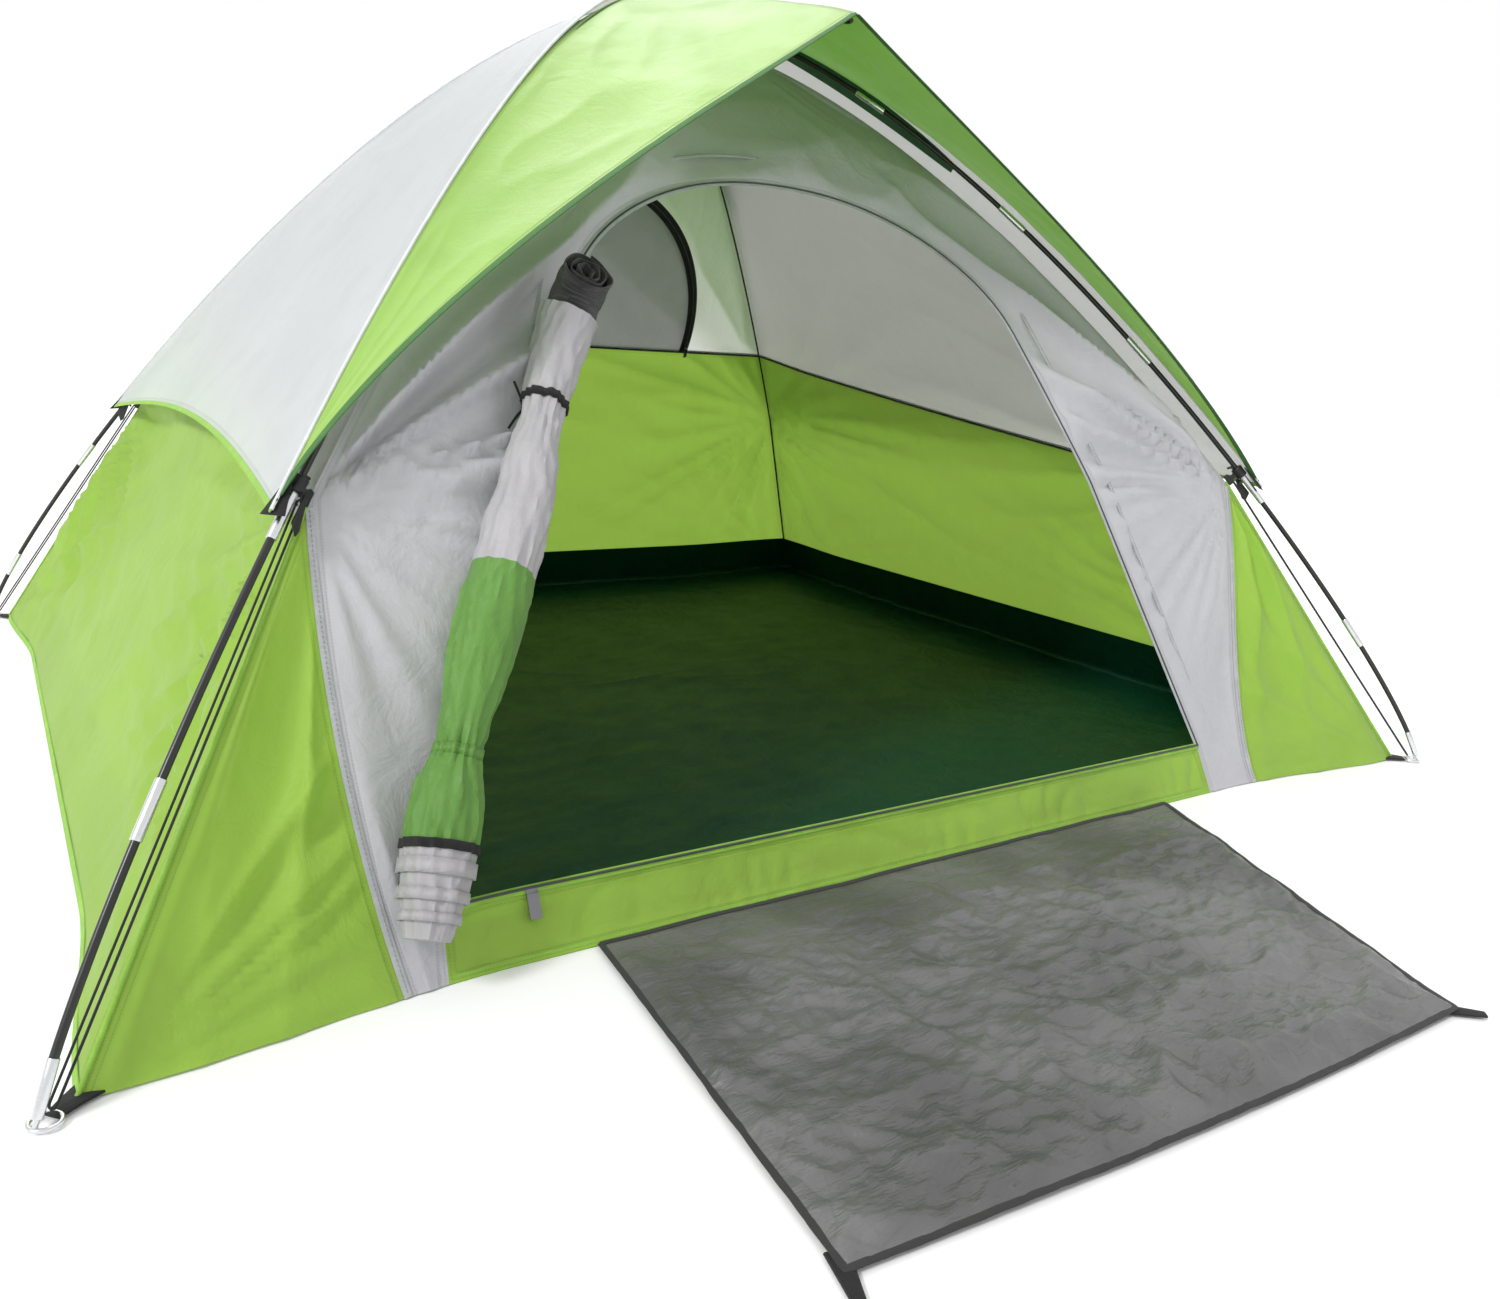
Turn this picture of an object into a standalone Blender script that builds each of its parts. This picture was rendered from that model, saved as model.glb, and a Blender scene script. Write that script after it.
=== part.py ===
"""A two to three person dome tent, pitched, with its rainfly on and its door rolled back.

Two long jointed poles cross at the top. The inner tent hangs from them on clips, the rainfly lies
over them, and a short ridge pole on top of the crossing holds out the fly's front and rear awnings.
Metres. +X is right seen from the front, -Y is the front, +Z is up. The origin is on the ground,
midway between the four pole feet.
"""

import math

import bmesh
import bpy
from mathutils import Vector

# Poles
FOOT_X = 1.10  # half the distance between the pole feet, side to side
FOOT_Y = 1.02  # half the distance between the pole feet, front to back
POLE_TOP = 1.2345  # centre line of the lower pole where the poles cross
FOOT_SLOPE = math.radians(71.6)  # slope of a pole where it leaves the ground
FOOT_STRAIGHT = 0.20  # length over which that slope is held before the pole bends
SHOULDER = 0.347  # share of the half span over which the top of the arch is level
POLE_R = 0.00425
POLE_BORE = 0.0026
BEND_STEP = 0.10  # length between the bends that stand for a pole's curve
RUN_CLEARANCE = 0.0007  # air between poles that cross
FERRULE_R = 0.0056
FERRULE_LENGTH = 0.060
FIRST_JOINT = 0.93  # length from a front foot to the first modelled ferrule
SECTION_LENGTH = 0.975
TIP_R = 0.0053
TIP_BORE = 0.0031
TIP_START = 0.012
TIP_END = 0.062
SHOCK_CORD_R = 0.0012
RIDGE_REACH = 0.575  # from the crossing to each end of the ridge pole
RIDGE_DROP = 0.122  # how far the ends of the ridge pole hang below its middle
RIDGE_BEND = 1.35  # power of the ridge pole's curve

# Corner anchors, pole clips and corner elastics
STRAP = 0.045  # from a pole foot in to the corner of the tent floor
STRAP_WIDTH = 0.024
STRAP_THICKNESS = 0.0025
RING_R = 0.013
RING_WIRE = 0.0022
PIN_R = 0.0026
PIN_LENGTH = 0.042
CLIP_AT = 0.645  # length along a pole from its foot to its lower clip
CLIP_LENGTH = 0.016
CLIP_R = 0.0085
CLIP_TAB_WIDTH = 0.014
ELASTIC_R = 0.0014
ELASTIC_SPREAD = 0.004  # half the distance between the elastic's two runs

# Inner tent
WALL = 0.003
GAP = 0.0003  # air between pieces that touch on the real tent
SEAM_GAP = 0.001  # air between panels that are sewn together
GROUND = 0.0008  # lower edge of the walls above the ground
BODY_GAP = 0.026  # from a pole's centre line in to the tent's corner seam
FRONT_BOW = 0.040  # how far the middle of the front and back walls pull in
SIDE_BOW = 0.030
BOW_FLAT = 0.60  # share of a wall's half width over which it is flat
SEAM_FRONT = 0.470  # height of the seam between lower and upper walls at the front corners
SEAM_BACK = 0.660
TOP_END = 0.025  # length of pole left free between the wall tops and the crossing
TUB_HEIGHT = 0.120
TUB_FRONT = 0.060
TUB_THICKNESS = 0.002

# Door and sill
DOOR_AXIS = -0.050  # middle of the door at the sill
DOOR_LEAN = 0.105  # sideways lean of the door's middle for each metre of height
DOOR_HALF = 0.6245  # half the door's width at the sill
DOOR_TAPER = 0.36  # loss of half width for each metre of height
DOOR_SPRING = 0.720  # height at which the arched top starts
DOOR_TOP = 0.925
DOOR_ARCH = 2.2  # 2 makes the top an ellipse, and more makes it squarer
SILL_HEIGHT = 0.0715
SILL_FOOT_LEFT = -0.720
SILL_FOOT_RIGHT = 0.580
PILLAR_FOOT_LEFT = -0.765
PILLAR_FOOT_RIGHT = 0.698
PILLAR_CURVE_LEFT = 1.0
PILLAR_CURVE_RIGHT = 1.4

# Rolled door
ROLL_R = 0.036
ROLL_CLEARANCE = 0.006  # air between the rolled door and the wall, which its ties pass through
ROLL_FOOT = (-0.755, 0.052)
ROLL_BENDS = ((-0.730, 0.120), (-0.698, 0.209), (-0.608, 0.388), (-0.507, 0.584))
ROLL_HEAD = (-0.401, 0.762)
TIE_THICKNESS = 0.0025
TIE_CLEARANCE = 0.003
TIE_WIDTH = 0.010
TIE_HEIGHTS = (0.128, 0.592)

# Rear window
WINDOW_HALF = 0.420
WINDOW_TOP = 1.010

# Zip sliders
SLIDER_WIDTH = 0.014
SLIDER_INSET = 0.0545  # from the door's left corner to the parked slider
WINDOW_SLIDER_RUN = 0.100

# Rainfly
FLY_GAP = 0.0125  # from a pole's centre line out to the fly
FLY_CORNER = 0.600  # length along a pole from its foot to the fly's corner
HEM_RISE = 0.060  # how far the side hem arches up between the corners
RIDGE_CLEARANCE = 0.003
AWNING_TIP_Y = 0.589
AWNING_TIP_DROP = 0.1245  # from the fly's top down to the awning's tip
AWNING_START = 0.006
HOOK_THICKNESS = 0.002
HOOK_OFFSET = 0.0100  # from a pole's plane to the hook plate

# Ground mat
MAT_THICKNESS = 0.003
MAT_GAP = 0.004
MAT_REAR = (-0.543, 0.456)
MAT_FRONT_LEFT = (-0.597, -1.482)
MAT_FRONT_RIGHT = (0.229, -1.517)
MAT_TAB = 0.034
MAT_TAB_HALF = 0.010

SPAN = math.hypot(FOOT_X, FOOT_Y)
CORNERS = {
    "front_left": (-1, -1),
    "front_right": (1, -1),
    "back_right": (1, 1),
    "back_left": (-1, 1),
}
SIDES = {
    "front": ("front_left", "front_right", Vector((0, 1, 0)), FRONT_BOW),
    "right": ("front_right", "back_right", Vector((-1, 0, 0)), SIDE_BOW),
    "back": ("back_right", "back_left", Vector((0, -1, 0)), FRONT_BOW),
    "left": ("back_left", "front_left", Vector((1, 0, 0)), SIDE_BOW),
}


def mix(a, b, share):
    return a + (b - a) * share


def smooth(share):
    share = min(max(share, 0.0), 1.0)
    return share * share * (3 - 2 * share)


def bezier(points, share):
    """A point on the Bezier curve with these control points."""
    while len(points) > 1:
        points = [mix(a, b, share) for a, b in zip(points, points[1:])]
    return points[0]


class Arch:
    """Half of a bent pole: radius from the tent's axis and height, against length from the foot."""

    STEPS = 240

    def __init__(self, top):
        foot = Vector((SPAN, 0.0))
        rise = Vector((-math.cos(FOOT_SLOPE), math.sin(FOOT_SLOPE))) * FOOT_STRAIGHT
        control = [foot, foot + rise, Vector((SHOULDER * SPAN, top)), Vector((0.0, top))]
        self.points = [bezier(control, i / self.STEPS) for i in range(self.STEPS + 1)]
        self.lengths = [0.0]
        for a, b in zip(self.points, self.points[1:]):
            self.lengths.append(self.lengths[-1] + (b - a).length)
        self.length = self.lengths[-1]

    def cell(self, length):
        length = min(max(length, 0.0), self.length)
        i = 0
        while i < self.STEPS - 1 and self.lengths[i + 1] < length:
            i += 1
        share = (length - self.lengths[i]) / (self.lengths[i + 1] - self.lengths[i])
        return i, share

    def at(self, length):
        i, share = self.cell(length)
        return mix(self.points[i], self.points[i + 1], share)

    def slope(self, length):
        """Angle of the pole above the horizontal."""
        step = 0.004
        a = self.at(max(length - step, 0.0))
        b = self.at(min(length + step, self.length))
        return math.atan2(b.y - a.y, a.x - b.x)

    def offset(self, length, outward):
        slope = self.slope(length)
        return self.at(length) + Vector((math.sin(slope), math.cos(slope))) * outward


LOWER_ARCH = Arch(POLE_TOP)
UPPER_TOP = POLE_TOP + 2 * POLE_R + RUN_CLEARANCE
UPPER_ARCH = Arch(UPPER_TOP)
RIDGE_TOP = UPPER_TOP + 2 * POLE_R + RUN_CLEARANCE
FLY_TOP = RIDGE_TOP + POLE_R + RIDGE_CLEARANCE + WALL
WALL_TOP = LOWER_ARCH.length - TOP_END


def at_corner(corner, flat, aside=0.0):
    """World point of (radius, height) in a corner's upright plane, moved aside across that plane."""
    sx, sy = CORNERS[corner]
    out = Vector((sx * FOOT_X, sy * FOOT_Y, 0)) / SPAN
    across = Vector((-out.y, out.x, 0))
    return out * flat.x + across * aside + Vector((0, 0, flat.y))


# ---------------------------------------------------------------- objects


def material(name, colour, roughness, metallic=0.0):
    made = bpy.data.materials.new(name)
    made.use_nodes = True
    shader = made.node_tree.nodes["Principled BSDF"]
    shader.inputs["Base Color"].default_value = (*colour, 1.0)
    shader.inputs["Roughness"].default_value = roughness
    shader.inputs["Metallic"].default_value = metallic
    made.diffuse_color = (*colour, 1.0)
    return made


def finish(name, shell, finish_material, round_piece=False):
    """Turn a closed bmesh into a named object with its faces pointing out."""
    bmesh.ops.recalc_face_normals(shell, faces=shell.faces)
    mesh = bpy.data.meshes.new(name)
    shell.to_mesh(mesh)
    shell.free()
    mesh.materials.append(finish_material)
    if round_piece:
        mesh.shade_smooth()
        mesh.set_sharp_from_angle(angle=math.radians(40))
    piece = bpy.data.objects.new(name, mesh)
    bpy.context.scene.collection.objects.link(piece)
    return piece


def slab(name, outer, inner, finish_material):
    """The closed solid between two equal grids of points."""
    shell = bmesh.new()
    skins = [[[shell.verts.new(point) for point in line] for line in skin] for skin in (outer, inner)]
    columns, rows = len(outer) - 1, len(outer[0]) - 1
    for skin in skins:
        for i in range(columns):
            for j in range(rows):
                shell.faces.new((skin[i][j], skin[i + 1][j], skin[i + 1][j + 1], skin[i][j + 1]))
    rim = [(i, 0) for i in range(columns)] + [(columns, j) for j in range(rows)]
    rim += [(i, rows) for i in range(columns, 0, -1)] + [(0, j) for j in range(rows, 0, -1)]
    for (i, j), (k, m) in zip(rim, rim[1:] + rim[:1]):
        shell.faces.new((skins[0][i][j], skins[0][k][m], skins[1][k][m], skins[1][i][j]))
    return finish(name, shell, finish_material)


def grid(place, columns, rows):
    return [[place(i / columns, j / rows) for j in range(rows + 1)] for i in range(columns + 1)]


def tube(name, path, across, radius, bore, sides, finish_material):
    """A round bar along a path, or a pipe where it has a bore. across is never along the path."""
    shell = bmesh.new()
    skins = []
    for size in (radius, bore):
        if size <= 0:
            continue
        rings = []
        for i, point in enumerate(path):
            along = (path[min(i + 1, len(path) - 1)] - path[max(i - 1, 0)]).normalized()
            side = (across - along * across.dot(along)).normalized()
            up = along.cross(side)
            angles = [2 * math.pi * k / sides for k in range(sides)]
            spokes = [side * math.cos(angle) + up * math.sin(angle) for angle in angles]
            rings.append([shell.verts.new(point + spoke * size) for spoke in spokes])
        skins.append(rings)
    for rings in skins:
        for a, b in zip(rings, rings[1:]):
            for k in range(sides):
                shell.faces.new((a[k - 1], a[k], b[k], b[k - 1]))
    for end in (0, -1):
        if len(skins) == 1:
            shell.faces.new(skins[0][end])
            continue
        for k in range(sides):
            outer, inner = skins[0][end], skins[1][end]
            shell.faces.new((outer[k - 1], outer[k], inner[k], inner[k - 1]))
    return finish(name, shell, finish_material, round_piece=True)


def prism(name, outline, rise, finish_material):
    """A closed solid: a flat outline pushed along a vector."""
    shell = bmesh.new()
    lower = [shell.verts.new(point) for point in outline]
    upper = [shell.verts.new(point + rise) for point in outline]
    shell.faces.new(lower)
    shell.faces.new(upper)
    for k in range(len(outline)):
        shell.faces.new((lower[k - 1], lower[k], upper[k], upper[k - 1]))
    return finish(name, shell, finish_material)


def join(piece, *others):
    """Boolean union of pieces that overlap, kept as modifiers on the first."""
    for other in others:
        other.hide_render = True
        other.display_type = "WIRE"
        union = piece.modifiers.new("join_" + other.name, "BOOLEAN")
        union.operation = "UNION"
        union.object = other
    return piece


# ---------------------------------------------------------------- poles


def pole_point(arch, start, end, length, aside=0.0):
    """A point along a whole pole, from the start corner's foot over the top to the end corner's."""
    if length <= arch.length:
        return at_corner(start, arch.at(length), aside)
    return at_corner(end, arch.at(2 * arch.length - length), -aside)


def pole_stations(first, last):
    """Lengths along a section at which it bends: it stays straight inside the ferrules at its ends."""
    half = FERRULE_LENGTH / 2
    count = round((last - first - 2 * half) / BEND_STEP)
    bends = [mix(first + half, last - half, i / count) for i in range(count + 1)]
    return [first, *bends, last]


def straight_point(arch, start, end, joint, shift):
    """A point on the straight line through a ferrule, this far along from its middle."""
    half = FERRULE_LENGTH / 2
    a = pole_point(arch, start, end, joint - half)
    b = pole_point(arch, start, end, joint + half)
    return mix(a, b, (shift + half) / FERRULE_LENGTH)


def make_pole(name, arch, start, end, fibre, steel, cord):
    """A jointed pole: four pipe sections, three ferrules, two end tips and the shock cord inside."""
    across = at_corner(start, Vector((0, 0)), 1.0)
    total = 2 * arch.length
    half = FERRULE_LENGTH / 2
    joints = [FIRST_JOINT + i * SECTION_LENGTH for i in range(3)]
    cuts = [TIP_END, *joints, total - TIP_END]
    cord_path = []
    for i, (first, last) in enumerate(zip(cuts, cuts[1:])):
        path = [pole_point(arch, start, end, length) for length in pole_stations(first, last)]
        if first in joints:
            path[0] = straight_point(arch, start, end, first, GAP / 2)
        if last in joints:
            path[-1] = straight_point(arch, start, end, last, -GAP / 2)
        tube(f"{name}_section_{i + 1}", path, across, POLE_R, POLE_BORE, 8, fibre)
        cord_path += path[:-1] if last in joints else path
    for i, joint in enumerate(joints):
        path = [straight_point(arch, start, end, joint, shift) for shift in (-half, half)]
        tube(f"{name}_ferrule_{i + 1}", path, across, FERRULE_R, POLE_R + 0.0006, 8, steel)
    ends = (("front", TIP_START, TIP_END), ("back", total - TIP_END, total - TIP_START))
    for end_name, first, last in ends:
        middle = (first + last) / 2
        ends = (first, middle, last - GAP) if end_name == "front" else (first + GAP, middle, last)
        path = [pole_point(arch, start, end, length) for length in ends]
        tube(f"{name}_tip_{end_name}", path, across, TIP_R, TIP_BORE, 8, steel)
    tube(f"{name}_shock_cord", cord_path, across, SHOCK_CORD_R, 0, 5, cord)


def ridge_height(y):
    return RIDGE_TOP - RIDGE_DROP * (abs(y) / RIDGE_REACH) ** RIDGE_BEND


def make_ridge_pole(fibre):
    steps = 12
    ys = [mix(-RIDGE_REACH, RIDGE_REACH, i / steps) for i in range(steps + 1)]
    path = [Vector((0, y, ridge_height(y))) for y in ys]
    tube("ridge_pole", path, Vector((1, 0, 0)), POLE_R, 0, 8, fibre)


# ---------------------------------------------------------------- corners


def make_anchor(corner, arch, webbing, steel):
    """The webbing, steel ring and pin that hold a pole's foot, made as one piece."""
    sx, sy = CORNERS[corner]
    out = Vector((sx * FOOT_X, sy * FOOT_Y, 0)) / SPAN
    across = Vector((-out.y, out.x, 0))
    inner = out * (SPAN - STRAP + GAP)
    outer = out * (SPAN - 2 * RING_R + 2 * RING_WIRE)
    side = across * (STRAP_WIDTH / 2)
    low = Vector((0, 0, GROUND))
    outline = [inner - side + low, outer - side + low, outer + side + low, inner + side + low]
    strap = prism(f"anchor_{corner}", outline, Vector((0, 0, STRAP_THICKNESS)), webbing)
    height = GROUND + STRAP_THICKNESS
    centre = out * (SPAN - RING_R) + Vector((0, 0, height))
    turns = 14
    ring = bmesh.new()
    loops = []
    for i in range(turns):
        a = 2 * math.pi * i / turns
        arm = out * math.cos(a) + across * math.sin(a)
        wire = []
        for k in range(6):
            b = 2 * math.pi * k / 6
            reach = RING_R + RING_WIRE * math.cos(b)
            wire.append(ring.verts.new(centre + arm * reach + Vector((0, 0, RING_WIRE * math.sin(b)))))
        loops.append(wire)
    for i in range(turns):
        for k in range(6):
            ring.faces.new((loops[i - 1][k - 1], loops[i - 1][k], loops[i][k], loops[i][k - 1]))
    ring_piece = finish(f"cut_ring_{corner}", ring, steel, round_piece=True)
    pin_path = [at_corner(corner, arch.at(mix(height, PIN_LENGTH, i / 2))) for i in range(3)]
    pin = tube(f"cut_pin_{corner}", pin_path, across, PIN_R, 0, 8, steel)
    join(strap, ring_piece, pin)


def make_clip(corner, arch, plastic):
    """A collar round the pole with a tab that reaches in to the tent's corner seam."""
    sx, sy = CORNERS[corner]
    across = Vector((-sy * FOOT_Y, sx * FOOT_X, 0)) / SPAN
    half = CLIP_LENGTH / 2
    path = [at_corner(corner, arch.at(CLIP_AT + shift)) for shift in (-half, 0, half)]
    collar = tube(f"pole_clip_{corner}", path, across, CLIP_R, POLE_R + 0.0006, 8, plastic)
    slope = arch.slope(CLIP_AT)
    along = Vector((-math.cos(slope), math.sin(slope)))
    inward = Vector((-math.sin(slope), -math.cos(slope)))
    middle = arch.at(CLIP_AT)
    tab_half = CLIP_LENGTH * 0.4
    near, far = (POLE_R + CLIP_R) / 2, BODY_GAP - SEAM_GAP
    flat = [(near, -tab_half), (far, -tab_half), (far, tab_half), (near, tab_half)]
    outline = [at_corner(corner, middle + inward * a + along * b, -CLIP_TAB_WIDTH / 2) for a, b in flat]
    rise = across_vector(corner) * CLIP_TAB_WIDTH
    tab = prism(f"cut_tab_{corner}", outline, rise, plastic)
    join(collar, tab)


def across_vector(corner):
    sx, sy = CORNERS[corner]
    return Vector((-sy * FOOT_Y, sx * FOOT_X, 0)) / SPAN


def make_elastic(corner, cord):
    """The doubled elastic from the clip's tab down to the foot ring: one long loop."""
    slope = LOWER_ARCH.slope(CLIP_AT)
    inward = Vector((-math.sin(slope), -math.cos(slope)))
    along = Vector((-math.cos(slope), math.sin(slope)))
    below = CLIP_LENGTH * 0.4 + ELASTIC_R + GAP
    top = LOWER_ARCH.at(CLIP_AT) + inward * 0.015 - along * below
    foot = Vector((SPAN - 1.5 * RING_R, GROUND + STRAP_THICKNESS + 2 * RING_WIRE + 2 * ELASTIC_R))
    axis = (foot - top).normalized()
    points = []
    for centre, toward in ((top + axis * ELASTIC_SPREAD, -1), (foot - axis * ELASTIC_SPREAD, 1)):
        for i in range(5):
            angle = math.pi * i / 4
            aside = -toward * math.cos(angle) * ELASTIC_SPREAD
            ahead = toward * math.sin(angle) * ELASTIC_SPREAD
            points.append(at_corner(corner, centre + axis * ahead, aside))
    curve = bpy.data.curves.new(f"corner_elastic_{corner}", "CURVE")
    curve.dimensions = "3D"
    curve.bevel_depth = ELASTIC_R
    curve.bevel_resolution = 1
    curve.use_fill_caps = True
    spline = curve.splines.new("POLY")
    spline.points.add(len(points) - 1)
    for slot, point in zip(spline.points, points):
        slot.co = (*point, 1)
    spline.use_cyclic_u = True
    curve.materials.append(cord)
    piece = bpy.data.objects.new(f"corner_elastic_{corner}", curve)
    bpy.context.scene.collection.objects.link(piece)


def make_fly_hook(corner, plastic):
    """The small plate under a corner of the fly that hooks it to the pole clip."""
    middle = FLY_CORNER + 0.012
    slope = LOWER_ARCH.slope(middle)
    along = Vector((-math.cos(slope), math.sin(slope)))
    inward = Vector((-math.sin(slope), -math.cos(slope)))
    centre = LOWER_ARCH.at(middle)
    flat = [(0.004, -0.012), (0.018, -0.020), (0.020, -0.012), (0.010, 0.022), (0.004, 0.024)]
    outline = [at_corner(corner, centre + inward * a + along * b, HOOK_OFFSET) for a, b in flat]
    prism(f"fly_hook_{corner}", outline, across_vector(corner) * HOOK_THICKNESS, plastic)


# ---------------------------------------------------------------- inner tent


def body_edge(length, inward=0.0):
    """Corner seam of the inner tent: straight up to the clip, then along under the pole."""
    clip = LOWER_ARCH.offset(CLIP_AT, -BODY_GAP)
    foot = Vector((SPAN - STRAP, GROUND))
    clip_slope = LOWER_ARCH.slope(CLIP_AT)
    if length < CLIP_AT:
        share = length / CLIP_AT
        point = mix(foot, clip, share)
        slope = mix(math.atan2(clip.y - foot.y, foot.x - clip.x), clip_slope, share)
    else:
        point = LOWER_ARCH.offset(length, -BODY_GAP)
        slope = LOWER_ARCH.slope(length)
    point = point - Vector((math.sin(slope), math.cos(slope))) * inward
    return Vector((point.x, max(point.y, GROUND)))


def length_at_height(height):
    """Length along the corner seam at which it reaches this height."""
    low, high = 0.0, WALL_TOP
    for _ in range(40):
        middle = (low + high) / 2
        if body_edge(middle).y < height:
            low = middle
        else:
            high = middle
    return low


def wall_half_width(side, length):
    first, second = SIDES[side][:2]
    flat = body_edge(length)
    return (at_corner(second, flat) - at_corner(first, flat)).length / 2


def wall_point(side, across, length, inward=0.0):
    """A point of a wall: across runs from -1 to 1 between its corners, length up its corner seams."""
    first, second, toward, bow = SIDES[side]
    flat = body_edge(length, inward)
    a, b = at_corner(first, flat), at_corner(second, flat)
    most = 1 - GAP / (wall_half_width(side, length) + GAP)
    across = min(max(across, -most), most)
    pull = bow * (1 - smooth((abs(across) - BOW_FLAT) / (1 - BOW_FLAT)))
    pull *= (1 - length / LOWER_ARCH.length) ** 0.8
    return mix(a, b, (across + 1) / 2) + toward * pull


def wall_panel(name, side, low_edge, high_edge, columns, rows, cloth, depth=(0.0, WALL)):
    """A panel between two edges, each a function that gives (across, length) for a share from 0 to 1."""

    def place(inward):
        def at(t, w):
            a, b = low_edge(t), high_edge(t)
            return wall_point(side, mix(a[0], b[0], w), mix(a[1], b[1], w), inward)

        return at

    return slab(name, grid(place(depth[0]), columns, rows), grid(place(depth[1]), columns, rows), cloth)


def seam_height(side, across):
    """Height of the seam between the lower and the upper wall."""
    share = {"front": 0.0, "back": 1.0, "right": (across + 1) / 2, "left": (1 - across) / 2}[side]
    return mix(SEAM_FRONT, SEAM_BACK, share)


def make_walls(side, lower_cloth, upper_cloth):
    """Lower and upper panels of a plain wall."""

    def seam(t, shift):
        across = 2 * t - 1
        return across, length_at_height(seam_height(side, across)) + shift

    def foot(t):
        return 2 * t - 1, 0.0

    def seam_below(t):
        return seam(t, -SEAM_GAP / 2)

    def seam_above(t):
        return seam(t, SEAM_GAP / 2)

    def top(t):
        return 2 * t - 1, WALL_TOP

    wall_panel(f"{side}_wall_lower", side, foot, seam_below, 16, 3, lower_cloth)
    if side != "back":
        wall_panel(f"{side}_wall_upper", side, seam_above, top, 16, 8, upper_cloth)


def across_at(side, x, length):
    return x / wall_half_width(side, length)


def ring_half(keys, share):
    """Linear reading of (share, value) keys."""
    for (a, low), (b, high) in zip(keys, keys[1:]):
        if share <= b:
            return mix(low, high, (share - a) / (b - a))
    return keys[-1][1]


def door_side(sign, height):
    """The door's left or right edge at this height, below the arched top."""
    above = height - SILL_HEIGHT
    return DOOR_AXIS + DOOR_LEAN * above + sign * (DOOR_HALF - DOOR_TAPER * above)


def pillar_seam(sign, share):
    """Across value of the seam between a pillar and its green gusset, up to the clip."""
    foot = PILLAR_FOOT_RIGHT if sign > 0 else PILLAR_FOOT_LEFT
    curve = PILLAR_CURVE_RIGHT if sign > 0 else PILLAR_CURVE_LEFT
    start = abs(foot) / wall_half_width("front", 0.0)
    return sign * mix(start, 1.0, share**curve)


CLIP_SHARE = 0.40  # share of the door's edge, from foot to top, that lies below the pole clips
SILL_SHARE = 0.10
SPRING_SHARE = 0.55


def door_edge(t):
    """The door opening's edge, from the left pillar's foot over the arch to the right pillar's foot."""
    sign = -1 if t < 0.5 else 1
    share = 2 * min(t, 1 - t)
    foot = SILL_FOOT_RIGHT if sign > 0 else SILL_FOOT_LEFT
    clip_height = body_edge(CLIP_AT).y
    if share < SILL_SHARE:
        height = mix(GROUND, SILL_HEIGHT, share / SILL_SHARE)
        x = mix(foot, door_side(sign, SILL_HEIGHT), share / SILL_SHARE)
    elif share < SPRING_SHARE:
        keys = ((SILL_SHARE, SILL_HEIGHT), (CLIP_SHARE, clip_height), (SPRING_SHARE, DOOR_SPRING))
        height = ring_half(keys, share)
        x = door_side(sign, height)
    else:
        angle = math.pi / 2 * (share - SPRING_SHARE) / (1 - SPRING_SHARE)
        height = mix(DOOR_SPRING, DOOR_TOP, math.sin(angle) ** (2 / DOOR_ARCH))
        axis = (door_side(-1, height) + door_side(1, height)) / 2
        x = mix(axis, door_side(sign, height), max(math.cos(angle), 0.0) ** (2 / DOOR_ARCH))
    length = length_at_height(height)
    return across_at("front", x, length), length


def front_outline(t):
    """The grey front wall's outer edge, matched to door_edge: pillar seam, corner seam, top."""
    sign = -1 if t < 0.5 else 1
    share = 2 * min(t, 1 - t)
    if share < CLIP_SHARE:
        rise = share / CLIP_SHARE
        across = pillar_seam(sign, rise) - sign * SEAM_GAP / 2
        return across, CLIP_AT * rise
    if share > 0.999:
        return 0.0, WALL_TOP
    return sign * 1.0, mix(CLIP_AT, WALL_TOP, (share - CLIP_SHARE) / (1 - CLIP_SHARE))


def make_front(grey, lime):
    wall_panel("front_wall", "front", door_edge, front_outline, 40, 4, grey)
    for name, sign in (("left", -1), ("right", 1)):
        reach = 0.97

        def seam(t, sign=sign, reach=reach):
            return pillar_seam(sign, t * reach) + sign * SEAM_GAP / 2, CLIP_AT * t * reach

        def corner(t, sign=sign, reach=reach):
            return sign * 1.0, CLIP_AT * t * reach

        wall_panel(f"front_gusset_{name}", "front", seam, corner, 8, 3, lime)
    sill_length = length_at_height(SILL_HEIGHT)

    def sill_low(t):
        x = mix(SILL_FOOT_LEFT + SEAM_GAP, SILL_FOOT_RIGHT - SEAM_GAP, t)
        return across_at("front", x, 0.0), 0.0

    def sill_high(t):
        x = mix(door_side(-1, SILL_HEIGHT) + SEAM_GAP, door_side(1, SILL_HEIGHT) - SEAM_GAP, t)
        return across_at("front", x, sill_length), sill_length

    wall_panel("front_sill", "front", sill_low, sill_high, 16, 2, lime)


def window_edge(t):
    """Arch of the rear window, over the seam."""
    angle = math.pi * t
    height = SEAM_BACK + (WINDOW_TOP - SEAM_BACK) * math.sin(angle)
    length = length_at_height(height)
    return across_at("back", -WINDOW_HALF * math.cos(angle), length), length + 1.5 * SEAM_GAP


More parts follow.
